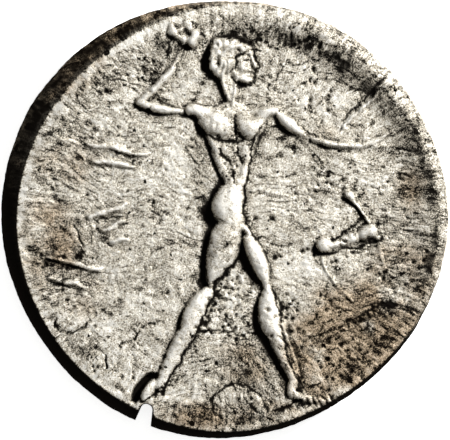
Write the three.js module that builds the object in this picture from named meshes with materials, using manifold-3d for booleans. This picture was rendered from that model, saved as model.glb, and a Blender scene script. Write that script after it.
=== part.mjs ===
// Greek silver stater of the double relief kind, struck about 475 to 425 BC and worn.
// Upper face: a nude man striding right with a branch in his raised hand, a small stag before
// him and worn strokes where the inscription stands. Underside: a plainer stag, sunk in a recess.
// Millimetres, +Z up. The coin lies with the striding man up, and the origin is under the middle
// of its bounding box, on the surface that it rests on.
import * as THREE from 'three';
import { mergeVertices } from 'three/addons/utils/BufferGeometryUtils.js';
import Module from 'manifold-3d';

const TURN = 2 * Math.PI;
const RADIANS = Math.PI / 180;

// Flan: the hammered silver blank
const COIN_DIAMETER = 21.0;
const FIELD_THICKNESS = 2.45; // from the surface below to the field of the upper face
const WIDEST_LEVEL = 1.3; // height at which the rounded edge stands out furthest
const EDGE_BREAK_ANGLE = 35; // degrees, where the rounded edge breaks over into a face
const LOWER_EDGE_BAND = 0.35; // how far the edge rounds in below
// How far the outline wanders outwards from a true circle, every 30 degrees from the right
const OUTLINE_WANDER = [-0.02, -0.08, -0.08, -0.22, -0.04, 0.05, 0.01, -0.2, -0.2, -0.26, -0.42, -0.25];
// Width of the rounded edge seen from above, at the same twelve places: broad at the upper left
const UPPER_EDGE_BAND = [0.12, 0.12, 0.15, 0.28, 0.85, 0.95, 0.8, 0.62, 0.58, 0.36, 0.28, 0.18];

// Raised rim of the upper face, high where the blow drove the silver up, worn away elsewhere
const RIM_RISE = [0.2, 0.28, 0.3, 0.16, 0.15, 0.22, 0.06, 0.03, 0.03, 0.03, 0.05, 0.1];
const RIM_CREST_INSET = 0.55; // from the border of the face in to the crest
const RIM_SLOPE_WIDTH = 1.3; // from the crest down to the field
const RIM_BORDER_SHARE = 0.6; // rim height left at the border, as a share of the crest

// Underside: a flat worn rim around a shallow recess
const UNDER_RIM_WIDTH = 0.75;
const UNDER_SLOPE_WIDTH = 0.55;
const RECESS_DEPTH = 0.3;

// Damage: a crack open at the edge, and a hollow where the silver lifted beside the rear foot
const NOTCH_DIRECTION = 248; // degrees from the right
const NOTCH_DEPTH = 0.95;
const NOTCH_WIDTH = 0.56;
const NOTCH_LEAN = 7; // degrees that the crack leans from the way to the centre
const HOLLOW_PLACE = [-3.95, -7.75];
const HOLLOW_LENGTH = 1.35;
const HOLLOW_WIDTH = 0.72;
const HOLLOW_DEPTH = 0.42;
const HOLLOW_DIRECTION = 58;

// Types: the struck figures keep their proportions as shares of their own height or length
const FIGURE_HEIGHT = 17.0;
const FIGURE_HIP = [0.14, 0.23]; // the figure's hip, from the middle of the flan
const FIGURE_RELIEF = 0.58;
const STAG_LENGTH = 11.5;
const STAG_PLACE = [0.2, -0.9];
const STAG_RELIEF = 0.2;

// Carving steps
const AROUND = 60;
const EDGE_STEPS = 3;
const RIM_STEPS = 3;
// Lengths that a bar is made of, flats across it, and degrees at which its round ends have rings
const BROAD = { lengths: 4, arcSteps: 5, capAngles: [65, 30] };
const SLIM = { lengths: 3, arcSteps: 3, capAngles: [48] };
const SLIM_HALF_WIDTH = 0.3; // bars no wider than this are cut plainer
const ROOT = 0.25; // how far a bar of relief reaches down into the flan
const SINK = 0.03; // how far its rounded section starts below the surface

const SILVER = { color: 0xbdb8aa, metalness: 1, roughness: 0.42 };

// Each bar of relief is a row of stations: place right and up from the hip and half width, in
// hundredths of the figure's height, then height in tenths of the full relief.
const TRUNK = {
  torso: [[1.2, 24.5, 6.8, 4.2], [1.5, 18, 4.8, 3.8], [1.4, 11, 2.9, 3.8], [1.3, 5, 3, 6]],
  chestNear: [[-6.3, 26.2, 2.2, 5.3], [-3.6, 25, 3.4, 8.5], [-1.4, 24, 2.9, 8]],
  chestFar: [[5.2, 24.7, 2.8, 8.5], [6.6, 24, 3.2, 9], [8.3, 25.1, 2.2, 5.7]],
  breastbone: [[1.4, 28.1, 1.7, 3.2], [1.7, 25.1, 1.9, 4], [1.9, 21.2, 1.7, 4]],
  collar: [[-9.4, 29.1, 1.4, 4.8], [-3.9, 28.4, 1.4, 4.4], [4, 28, 1.1, 3.6], [11.6, 28.5, 1.2, 4.4]],
  shoulderNear: [[-10.5, 28.9, 1.5, 5.7], [-8.5, 28.7, 1.8, 6.1], [-6.3, 27.3, 1.9, 5.3]],
  shoulderFar: [[8.8, 26.7, 1.7, 5.3], [10.8, 28.1, 1.5, 5.3], [13.2, 28.5, 1.1, 4]],
  ribsNear: [[-5, 22.3, 1.4, 4], [-2.8, 19.3, 2.2, 4.8], [-0.6, 17.4, 2.3, 4.8]],
  ribsFar: [[7.2, 21.2, 1.4, 4], [5.2, 18.5, 2.1, 4.9], [4.1, 16.8, 1.4, 4.4]],
  flankNear: [[-3, 17.9, 1.9, 4], [-1.4, 13.2, 1.7, 4], [0.6, 8.8, 1.4, 4.8]],
  flankFar: [[6.1, 17.9, 1.4, 4], [4.5, 13, 1.5, 4.8], [3.3, 8, 1.7, 5.7]],
  belly: [[1.7, 17.9, 1.7, 4], [1.4, 13, 1.9, 4], [1.7, 7.7, 2.2, 6.5]],
  hip: [[1.1, 6.9, 2.6, 6.5], [0, 4.4, 4.1, 9.3], [-0.3, 1.9, 4.5, 10], [0.6, -0.6, 3.6, 9]],
  groin: [[2.8, 5.8, 1.7, 5.7], [2.8, 0.8, 1.8, 7], [2.8, -3, 1.9, 6.5]],
  sex: [[4.7, -3.6, 1.1, 6.5], [5.9, -5, 1.1, 6]],
};
const LEGS = {
  thighRear: [[1.4, -1.9, 3, 8], [-0.6, -6.1, 4.3, 10], [-1.7, -10.2, 4.3, 9.7], [-3.6, -14.9, 2.8, 8],
    [-4.4, -18.5, 1.4, 4.8]],
  calfRear: [[-4.1, -20.4, 1.2, 4], [-6.6, -23.7, 2.5, 6.9], [-9.1, -27.8, 2.9, 7.3], [-11.6, -33.4, 2.2, 6],
    [-17.4, -43.3, 1.5, 4.4]],
  heelRear: [[-17.6, -44.1, 1.7, 4.4], [-18.5, -46.6, 1.8, 4.4]],
  footRear: [[-20.4, -46.3, 1.2, 3.6], [-21.8, -48, 1.7, 4.4], [-22.6, -49.6, 1.5, 4]],
  thighFront: [[5.5, -6.6, 1.7, 5.7], [6.9, -9.9, 2.5, 7.7], [8.8, -14.1, 2.3, 7.3], [10.2, -17.6, 1.4, 5.3]],
  kneeFront: [[10.5, -18.5, 1.1, 3.6], [10.8, -20.7, 1.2, 4]],
  calfFront: [[10.5, -21.2, 1.5, 4.8], [11, -25.1, 2.9, 7.3], [11.6, -28.9, 2.9, 7.7], [13.5, -34.5, 2.2, 6.5],
    [17.6, -43.3, 1.7, 4.8]],
  shinFront: [[13.2, -22.9, 0.5, 4], [14.6, -28.9, 0.5, 4.8], [16.8, -35.6, 0.5, 4.4], [19.6, -43.8, 0.5, 3.6]],
  heelFront: [[17.9, -45.2, 1.5, 4], [17.4, -48, 1.4, 3.6]],
  footFront: [[17.4, -48.8, 1.4, 3.6], [21.5, -50.2, 1.2, 3.2], [25.9, -50.7, 1, 2.4], [28.9, -50.5, 0.6, 1.6]],
};
const ARMS = {
  armNear: [[-12.4, 28.4, 0.7, 2.4], [-16, 28.7, 1.2, 4.8], [-19.6, 29.4, 1.4, 5.3], [-24.8, 30.9, 0.7, 2.8]],
  forearmNear: [[-23.8, 31, 1.1, 4.2], [-19.5, 35.3, 1.1, 4.8], [-15.8, 39.4, 1.1, 4], [-12.4, 46.3, 0.8, 1.4]],
  handNear: [[-12.1, 47.7, 1, 2.4], [-9.6, 48, 1.2, 4]],
  grip: [[-8.8, 52.9, 0.9, 2.8], [-8.5, 50.5, 1, 4], [-8.8, 48, 1.3, 4.8]],
  branch: [[-10.5, 49, 1, 2.8], [-13, 49.1, 0.9, 2.6], [-15, 49.6, 1.2, 3.4], [-15.6, 51.4, 1, 2.6]],
  armFar: [[14.1, 27.3, 1, 3.4], [16, 25.6, 1.8, 5.3], [17.9, 24.2, 1.7, 5.7], [20.2, 22.4, 0.8, 2.4]],
  elbowFar: [[19.9, 22.3, 0.6, 1.6], [21.5, 21.5, 0.6, 1.3], [23.2, 21, 0.7, 2]],
  forearmFar: [[23.2, 20.7, 0.8, 3.2], [27.6, 19.7, 1, 4.4], [32.3, 19, 0.9, 4], [36.9, 18.9, 0.7, 2.6]],
  fingers: [[36.9, 19, 0.6, 2], [40.3, 20.1, 0.4, 1.6], [44.9, 23.2, 0.3, 1]],
  fingersLow: [[39.2, 18.7, 0.4, 1.6], [48.5, 18.5, 0.3, 0.6]],
};
const HEAD = {
  neck: [[0.6, 39.4, 2.2, 3.6], [0.4, 35.6, 1.8, 3.6], [1.4, 29.5, 1, 3]],
  lockBack: [[-1.9, 38.9, 0.8, 4.8], [-1.1, 35.3, 0.8, 4.4], [0, 31.4, 0.6, 3.6]],
  lockFront: [[2.2, 36.7, 0.7, 4.8], [1.9, 33.4, 0.6, 4.4], [1.1, 30.1, 0.6, 3.6]],
  hair: [[-1.9, 45.6, 3.2, 6.4], [-0.6, 43.8, 3.8, 7], [0, 41.6, 3, 6.8]],
  nape: [[-4, 42.6, 1.55, 5.8], [-3.5, 40.4, 1.55, 5.8], [-2, 38.4, 1.4, 5]],
  fringe: [[-0.6, 47.4, 1.3, 5.6], [2.8, 46.6, 1.4, 5.8], [5.7, 45.6, 0.9, 5]],
  face: [[3.6, 43.8, 2.2, 4.2], [4.2, 41.4, 2.6, 5], [3.9, 39, 2.2, 4.6]],
  nose: [[6.3, 43.6, 0.6, 5], [7.5, 40.9, 0.7, 5]],
  lips: [[5.2, 39, 0.5, 4.5], [6.6, 39, 0.5, 3.7]],
  chin: [[5, 36.9, 1.1, 5], [6, 36.9, 0.9, 4.6]],
  jaw: [[5, 36.7, 0.9, 5], [3, 37.2, 0.9, 5.2], [1.5, 38.8, 0.9, 5.4]],
  eye: [[4.7, 42.3, 0.4, 5.8], [5.8, 42.2, 0.3, 5]],
};
const SMALL_STAG = {
  chest: [[26.1, -8.3, 2.2, 6.5], [26.5, -8.3, 2.1, 6.5]],
  trunk: [[27.8, -8, 1.1, 3.8], [31.4, -7.2, 1.5, 4], [34.7, -6.3, 1.55, 4.6]],
  haunch: [[37.5, -5.2, 2.1, 6.5], [39.2, -4.5, 2.2, 7]],
  throat: [[39.2, -2.7, 0.6, 2.6], [37.5, -0.3, 0.5, 2.8], [33.9, 4.4, 0.7, 3.6]],
  muzzle: [[33.2, 5.6, 1.3, 4.6], [33.9, 4.7, 1, 4.2]],
  antler: [[32.5, 6.3, 0.4, 1.8], [32.3, 8.5, 0.4, 1.3], [33.6, 10.5, 0.3, 1]],
  foreleg: [[25.6, -10.8, 0.6, 1.6], [26.5, -14.3, 0.5, 1.3], [29.5, -18.7, 0.4, 1.1], [34.2, -23.4, 0.4, 0.7]],
  hindleg: [[41.1, -6.3, 0.9, 2.1], [42.2, -11.3, 0.7, 1.5], [43.6, -17.9, 0.5, 1]],
};
// Rows of worn strokes in the place of the inscription: middle of the row, its slant in degrees,
// length of the long strokes and pitch between strokes, in the figure's own units
const STROKE_ROWS = [
  { name: 'upper', middle: [-31, 16.2], slant: -10, length: 16, pitch: 4.2, count: 2, height: 2.2 },
  { name: 'middle', middle: [-31.3, -2.8], slant: 20, length: 10, pitch: 4.4, count: 3, height: 2.8 },
  { name: 'lower', middle: [-43, -16], slant: -15, length: 14.5, pitch: 5.6, count: 2, height: 2.3 },
];
const STROKE_WIDTH = 0.85;
const SHORT_STROKE_SHARE = 0.6; // every second stroke of a row is shorter

// The stag of the underside, in hundredths of its own length as seen from below, with heights in
// tenths of its relief
const STAG = {
  trunk: [[-34, 0, 11, 8], [-12, -2, 10.5, 10], [12, 0, 12, 10]],
  haunch: [[-38, 2, 11, 9], [-33, -10, 8, 8]],
  shoulder: [[14, 4, 12, 10], [18, -10, 8, 8]],
  neck: [[18, 8, 9.5, 8], [26, 21, 6.8, 7.5], [31, 32, 5.2, 7]],
  head: [[30, 35, 5.6, 8], [40, 32, 4.2, 7], [48, 29, 2.9, 6]],
  ear: [[27, 37, 1.6, 5], [20, 41, 1.2, 4]],
  tail: [[-44, 9, 2.4, 6], [-50, 2, 1.8, 4]],
  ground: [[-56, -51, 1.4, 4], [0, -51, 1.4, 4], [56, -51, 1.4, 4]],
};
const STAG_LEGS = [
  [[17, -12, 4.2, 7], [17, -27, 2.6, 6], [15, -42, 2.1, 5], [19, -47, 2.3, 4]],
  [[21, -10, 3.6, 6], [28, -25, 2.4, 5], [28, -42, 1.9, 5], [32, -47, 2.2, 4]],
  [[-37, -12, 5, 7], [-41, -25, 3, 6], [-43, -33, 2.3, 5], [-39, -47, 2.2, 4]],
  [[-31, -12, 4.4, 6], [-29, -24, 2.8, 5], [-32, -33, 2.2, 5], [-26, -47, 2.2, 4]],
];
const ANTLER_BEAM = [[0, 0, 1.5, 5], [-2, 14, 1.5, 5], [3, 30, 1.1, 4]];
const ANTLER_FEET = [[30, 39], [36, 38]];
const ANTLER_TURNS = [12, -14]; // degrees that each antler leans
const TINE_PLACES = [0.3, 0.55, 0.8]; // shares of the way up an antler
const TINE_LENGTH = 8;

// A value given at evenly spaced places around the coin, taken smoothly at any angle
function around(values, angle) {
  const place = (angle / TURN) * values.length;
  const first = Math.floor(place);
  const t = place - first;
  const at = (k) => values[(((first + k) % values.length) + values.length) % values.length];
  const [a, b, c, d] = [at(-1), at(0), at(1), at(2)];
  return b + 0.5 * t * (c - a + t * (2 * a - 5 * b + 4 * c - d + t * (3 * (b - c) + d - a)));
}

function outlineRadius(angle) {
  return COIN_DIAMETER / 2 + around(OUTLINE_WANDER, angle);
}

function faceRadius(angle) {
  return outlineRadius(angle) - around(UPPER_EDGE_BAND, angle);
}

function restRadius(angle) {
  return outlineRadius(angle) - LOWER_EDGE_BAND;
}

// Height of the upper face where a point is the distance inset in from the border of the face
function faceLevel(angle, inset) {
  const out = RIM_BORDER_SHARE
    + (1 - RIM_BORDER_SHARE) * THREE.MathUtils.smoothstep(inset, 0, RIM_CREST_INSET);
  const inward = 1 - THREE.MathUtils.smoothstep(inset, RIM_CREST_INSET, RIM_CREST_INSET + RIM_SLOPE_WIDTH);
  return FIELD_THICKNESS + around(RIM_RISE, angle) * Math.min(out, inward);
}

function upperSurface(x, y) {
  const angle = Math.atan2(y, x);
  return faceLevel(angle, faceRadius(angle) - Math.hypot(x, y));
}

function recessFloor() {
  return RECESS_DEPTH;
}

// One ring of the flan: radius and height are functions of the angle
function ring(radius, height) {
  return Array.from({ length: AROUND }, (_, i) => {
    const angle = (i / AROUND) * TURN;
    const r = radius(angle);
    return [r * Math.cos(angle), r * Math.sin(angle), height(angle)];
  });
}

// Share of the way out across the rounded edge, and share of the way back to the face's height
function edgeProfile(step) {
  const start = EDGE_BREAK_ANGLE * RADIANS;
  const angle = start + (Math.PI / 2 - start) * step;
  return {
    out: (Math.sin(angle) - Math.sin(start)) / (1 - Math.sin(start)),
    level: Math.cos(angle) / Math.cos(start),
  };
}

// Rings of the flan from the middle of the upper face round the edge to the middle of the underside
function flanRings() {
  const rings = [ring((angle) => faceRadius(angle) / 2, () => FIELD_THICKNESS)];
  const insets = [];
  for (let i = RIM_STEPS; i >= 0; i -= 1) insets.push(RIM_CREST_INSET + (RIM_SLOPE_WIDTH * i) / RIM_STEPS);
  insets.push(RIM_CREST_INSET / 2, 0);
  for (const inset of insets) {
    rings.push(ring((angle) => faceRadius(angle) - inset, (angle) => faceLevel(angle, inset)));
  }
  for (let i = 1; i <= EDGE_STEPS; i += 1) {
    const { out, level } = edgeProfile(i / EDGE_STEPS);
    rings.push(ring(
      (angle) => faceRadius(angle) + out * around(UPPER_EDGE_BAND, angle),
      (angle) => WIDEST_LEVEL + level * (faceLevel(angle, 0) - WIDEST_LEVEL),
    ));
  }
  for (let i = EDGE_STEPS - 1; i >= 0; i -= 1) {
    const { out, level } = edgeProfile(i / EDGE_STEPS);
    rings.push(ring(
      (angle) => restRadius(angle) + out * LOWER_EDGE_BAND,
      () => WIDEST_LEVEL * (1 - level),
    ));
  }
  rings.push(ring((angle) => restRadius(angle) - UNDER_RIM_WIDTH, () => 0));
  rings.push(ring((angle) => restRadius(angle) - UNDER_RIM_WIDTH - UNDER_SLOPE_WIDTH, recessFloor));
  return rings;
}

function indexed(points, triangles) {
  const geometry = new THREE.BufferGeometry();
  geometry.setAttribute('position', new THREE.Float32BufferAttribute(points.flat(), 3));
  geometry.setIndex(triangles.flat());
  return geometry;
}

function flanGeometry() {
  const rings = flanRings();
  const points = [[0, 0, FIELD_THICKNESS], ...rings.flat(), [0, 0, recessFloor()]];
  const last = points.length - 1;
  const at = (r, i) => 1 + r * AROUND + (i % AROUND);
  const triangles = [];
  for (let i = 0; i < AROUND; i += 1) {
    triangles.push([0, at(0, i), at(0, i + 1)]);
    for (let r = 0; r < rings.length - 1; r += 1) {
      triangles.push([at(r, i), at(r + 1, i), at(r + 1, i + 1)]);
      triangles.push([at(r, i), at(r + 1, i + 1), at(r, i + 1)]);
    }
    triangles.push([last, at(rings.length - 1, i + 1), at(rings.length - 1, i)]);
  }
  return indexed(points, triangles);
}

// A bar of relief: rounded across, swelling and narrowing from station to station, with round ends.
// It stands on surface(x, y), and its root reaches on into the flan.
function barGeometry(stations, surface) {
  const widest = Math.max(...stations.map(([, , w]) => w));
  const { lengths, arcSteps, capAngles } = widest > SLIM_HALF_WIDTH ? BROAD : SLIM;
  const line = new THREE.SplineCurve(stations.map(([x, y]) => new THREE.Vector2(x, y)));
  const size = new THREE.SplineCurve(stations.map(([, , w, h]) => new THREE.Vector2(w, h)));
  const rings = [];
  const addRing = (t, past, shrink) => {
    const centre = line.getPoint(t);
    const along = line.getTangent(t);
    const { x: halfWidth, y: height } = size.getPoint(t);
    const x = centre.x + along.x * past * halfWidth;
    const y = centre.y + along.y * past * halfWidth;
    rings.push({ x, y, side: [-along.y, along.x], halfWidth: halfWidth * shrink, height: height * shrink });
  };
  for (const a of capAngles) addRing(0, -Math.sin(a * RADIANS), Math.cos(a * RADIANS));
  for (let i = 0; i <= lengths; i += 1) addRing(i / lengths, 0, 1);
  for (const a of capAngles.toReversed()) addRing(1, Math.sin(a * RADIANS), Math.cos(a * RADIANS));

  const points = [];
  for (const { x, y, side, halfWidth, height } of rings) {
    const base = surface(x, y);
    const place = (share, z) => points.push([x + side[0] * halfWidth * share, y + side[1] * halfWidth * share, z]);
    for (let k = 0; k <= arcSteps; k += 1) {
      const angle = (Math.PI * k) / arcSteps;
      place(Math.cos(angle), base - SINK + (height + SINK) * Math.sin(angle));
    }
    place(-1, base - ROOT);
    place(1, base - ROOT);
  }
  const count = arcSteps + 3;
  const triangles = [];
  for (let r = 0; r < rings.length - 1; r += 1) {
    for (let k = 0; k < count; k += 1) {
      const a = r * count + k;
      const b = r * count + ((k + 1) % count);
      triangles.push([a, b, a + count], [b, b + count, a + count]);
    }
  }
  const end = (rings.length - 1) * count;
  for (let k = 1; k < count - 1; k += 1) {
    triangles.push([0, k + 1, k], [end, end + k, end + k + 1]);
  }
  return indexed(points, triangles);
}

const wasm = await Module();
wasm.setup();

function toSolid(geometry) {
  geometry.deleteAttribute('normal');
  geometry.deleteAttribute('uv');
  const merged = mergeVertices(geometry);
  return new wasm.Manifold(new wasm.Mesh({
    numProp: 3,
    vertProperties: new Float32Array(merged.attributes.position.array),
    triVerts: new Uint32Array(merged.index.array),
  }));
}

function toGeometry(solid) {
  const mesh = solid.getMesh();
  const geometry = new THREE.BufferGeometry();
  geometry.setAttribute('position', new THREE.BufferAttribute(new Float32Array(mesh.vertProperties), 3));
  geometry.setIndex(new THREE.BufferAttribute(new Uint32Array(mesh.triVerts), 1));
  geometry.computeVertexNormals();
  return geometry;
}

// The worn strokes, as bars in the figure's own units
function strokeBars() {
  return STROKE_ROWS.flatMap(({ middle, slant, length, pitch, count, height }) => {
    const along = [Math.cos(slant * RADIANS), Math.sin(slant * RADIANS)];
    return Array.from({ length: count }, (_, i) => {
      const reach = (length / 2) * (i % 2 ? SHORT_STROKE_SHARE : 1);
      const down = (i - (count - 1) / 2) * pitch;
      const x = middle[0] + along[1] * down;
      const y = middle[1] - along[0] * down;
      return [-1, 0, 1].map((s) => [
        x + s * reach * along[0],
        y + s * reach * along[1],
        STROKE_WIDTH * (1 - 0.2 * Math.abs(s)),
        height * (1 - 0.2 * Math.abs(s)),
      ]);
    });
  });
}

// Everything struck on the upper face, on the face's own surface and cut off at its border
function upperRelief() {
  const unit = FIGURE_HEIGHT / 100;
  const tenth = FIGURE_RELIEF / 10;
  const bars = [TRUNK, LEGS, ARMS, HEAD, SMALL_STAG].flatMap(Object.values).concat(strokeBars());
  return bars.map((stations) => {
    const placed = stations.map(([u, v, w, h]) => [
      FIGURE_HIP[0] + u * unit,
      FIGURE_HIP[1] + v * unit,
      w * unit,
      h * tenth,
    ]);
    return toSolid(barGeometry(placed, upperSurface));
  });
}

// The tines of an antler branch off its beam to either side in turn
function antlerBars() {
  return ANTLER_FEET.flatMap(([footX, footY], side) => {
    const turn = ANTLER_TURNS[side] * RADIANS;
    const place = ([u, v, w, h]) => [
      footX + u * Math.cos(turn) - v * Math.sin(turn),
      footY + u * Math.sin(turn) + v * Math.cos(turn),
      w,
      h,
    ];
    const beam = new THREE.SplineCurve(ANTLER_BEAM.map(([u, v]) => new THREE.Vector2(u, v)));
    const tines = TINE_PLACES.map((share, i) => {
      const root = beam.getPoint(share);
      const lean = (i % 2 ? -1 : 1) * TINE_LENGTH;
      return [[root.x, root.y, 1.2, 4], [root.x + lean * 0.7, root.y + TINE_LENGTH * 0.7, 0.8, 3]];
    });
    return [ANTLER_BEAM, ...tines].map((stations) => stations.map(place));
  });
}

// The stag of the underside: made face up on the recess floor, then turned over with its height
function underRelief() {
  const unit = STAG_LENGTH / 100;
  const tenth = STAG_RELIEF / 10;
  const bars = [...Object.values(STAG), ...STAG_LEGS, ...antlerBars()];
  return bars.map((stations) => {
    const placed = stations.map(([u, v, w, h]) => [
      STAG_PLACE[0] + u * unit,
      STAG_PLACE[1] + v * unit,
      w * unit,
      h * tenth,
    ]);
    const geometry = barGeometry(placed, () => -recessFloor());
    geometry.rotateY(Math.PI);
    return toSolid(geometry);
  });
}

// A closed column over an outline, from below the coin to above it
function column(shape) {
  const depth = 3 * (FIELD_THICKNESS + FIGURE_RELIEF);
  const geometry = new THREE.ExtrudeGeometry(shape, { depth, bevelEnabled: false, curveSegments: 6 });
  geometry.translate(0, 0, -depth / 3);
  return geometry;
}

// The face's own outline: relief that the flan is too small for is lost, as on a real coin
function faceColumn() {
  const outline = ring(faceRadius, () => 0).map(([x, y]) => new THREE.Vector2(x, y));
  return toSolid(column(new THREE.Shape(outline)));
}

// The open crack: straight sides and a round end, leaning from the way to the centre
function notch() {
  const angle = NOTCH_DIRECTION * RADIANS;
  const half = NOTCH_WIDTH / 2;
  const shape = new THREE.Shape();
  shape.moveTo(-half * 1.5, -NOTCH_DEPTH);
  shape.lineTo(half * 1.5, -NOTCH_DEPTH);
  shape.lineTo(half, NOTCH_DEPTH - half);
  shape.absarc(0, NOTCH_DEPTH - half, half, 0, Math.PI, false);
  shape.closePath();
  const geometry = column(shape);
  geometry.rotateZ(angle + Math.PI / 2 + NOTCH_LEAN * RADIANS);
  const r = outlineRadius(angle);
  geometry.translate(r * Math.cos(angle), r * Math.sin(angle), 0);
  return toSolid(geometry);
}

function hollow() {
  const geometry = new THREE.SphereGeometry(1, 16, 10);
  geometry.scale(HOLLOW_LENGTH / 2, HOLLOW_WIDTH / 2, HOLLOW_DEPTH);
  geometry.rotateZ(HOLLOW_DIRECTION * RADIANS);
  geometry.translate(HOLLOW_PLACE[0], HOLLOW_PLACE[1], FIELD_THICKNESS);
  return toSolid(geometry);
}

function coinSolid() {
  const relief = upperRelief().reduce((all, bar) => all.add(bar)).intersect(faceColumn());
  const struck = underRelief().reduce((all, bar) => all.add(bar), toSolid(flanGeometry()).add(relief));
  return struck.subtract(notch()).subtract(hollow());
}

// The middle of the coin's bounding box, seen from above
function middle() {
  const outline = ring(outlineRadius, () => 0);
  const half = (axis) => {
    const values = outline.map((point) => point[axis]);
    return (Math.min(...values) + Math.max(...values)) / 2;
  };
  return [half(0), half(1)];
}

const coin = new THREE.Mesh(toGeometry(coinSolid()), new THREE.MeshStandardMaterial(SILVER));
coin.name = 'coin';
const [middleX, middleY] = middle();
coin.position.set(-middleX, -middleY, 0);

const stater = new THREE.Group();
stater.add(coin);

export default stater;
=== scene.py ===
"""A worn silver stater, made as an add-on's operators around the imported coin.

Sizes on the coin are in millimetres until a mesh is made. The coin lies with the striding man up,
and x and y on it are measured from the middle of its flan.
"""
import math
from typing import NamedTuple

import bpy
import numpy as np
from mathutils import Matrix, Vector


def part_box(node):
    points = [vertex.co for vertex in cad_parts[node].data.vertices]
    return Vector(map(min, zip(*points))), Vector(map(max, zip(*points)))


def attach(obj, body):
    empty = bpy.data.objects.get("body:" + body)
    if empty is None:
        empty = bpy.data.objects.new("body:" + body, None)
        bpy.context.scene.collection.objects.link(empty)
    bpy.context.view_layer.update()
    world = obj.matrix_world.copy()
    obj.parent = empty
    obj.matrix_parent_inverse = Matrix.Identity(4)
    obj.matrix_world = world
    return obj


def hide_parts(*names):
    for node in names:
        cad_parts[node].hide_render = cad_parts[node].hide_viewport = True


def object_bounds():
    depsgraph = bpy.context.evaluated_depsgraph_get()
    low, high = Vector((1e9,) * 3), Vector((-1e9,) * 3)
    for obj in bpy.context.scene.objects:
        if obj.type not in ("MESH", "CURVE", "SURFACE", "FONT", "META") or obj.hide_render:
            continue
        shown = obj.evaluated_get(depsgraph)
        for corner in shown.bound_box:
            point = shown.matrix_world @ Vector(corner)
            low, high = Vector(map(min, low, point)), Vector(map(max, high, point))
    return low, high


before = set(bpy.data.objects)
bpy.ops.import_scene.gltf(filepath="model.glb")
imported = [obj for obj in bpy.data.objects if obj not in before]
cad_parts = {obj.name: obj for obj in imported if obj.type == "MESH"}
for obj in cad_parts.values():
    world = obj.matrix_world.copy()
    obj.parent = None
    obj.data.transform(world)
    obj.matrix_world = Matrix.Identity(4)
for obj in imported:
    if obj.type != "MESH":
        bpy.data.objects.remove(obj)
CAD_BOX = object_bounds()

bl_info = {
    "name": "Worn silver stater",
    "version": (1, 0, 0),
    "blender": (4, 5, 0),
    "location": "3D View > Sidebar > Stater",
    "description": "Makes a struck and worn ancient silver coin, its tarnish and its stage",
    "category": "Add Mesh",
}

MM = 0.001
TURN = 2 * math.pi

# Flan: the same outline, edge and rim as the solid
OUTLINE_WANDER = [-0.02, -0.08, -0.08, -0.22, -0.04, 0.05, 0.01, -0.2, -0.2, -0.26, -0.42, -0.25]
UPPER_EDGE_BAND = [0.12, 0.12, 0.15, 0.28, 0.85, 0.95, 0.8, 0.62, 0.58, 0.36, 0.28, 0.18]
RIM_RISE = [0.2, 0.28, 0.3, 0.16, 0.15, 0.22, 0.06, 0.03, 0.03, 0.03, 0.05, 0.1]
LOWER_EDGE_BAND = 0.35
FIELD_LEVEL = 2.45
WIDEST_LEVEL = 1.3
EDGE_BREAK_ANGLE = math.radians(35)
RIM_CREST_INSET = 0.55
RIM_SLOPE_WIDTH = 1.3
RIM_BORDER_SHARE = 0.6
UNDER_RIM_WIDTH = 0.75
UNDER_SLOPE_WIDTH = 0.55
RECESS_DEPTH = 0.3
OUTLINE_SAMPLES = 720

# Damage
NOTCH_DIRECTION = math.radians(248)
NOTCH_LEAN = math.radians(7)
NOTCH_DEPTH = 0.95
NOTCH_WIDTH = 0.56
NOTCH_MOUTH_WIDTH = 0.78
NOTCH_LIP = 0.07

# The striding man stands on his hip's place, and his bars are in hundredths of his height
FIGURE_HEIGHT = 17.0
FIGURE_HIP = (0.14, 0.23)
FIGURE_RELIEF = 0.58
STAG_LENGTH = 11.5
STAG_PLACE = (0.2, -0.9)
STAG_RELIEF = 0.2

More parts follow.
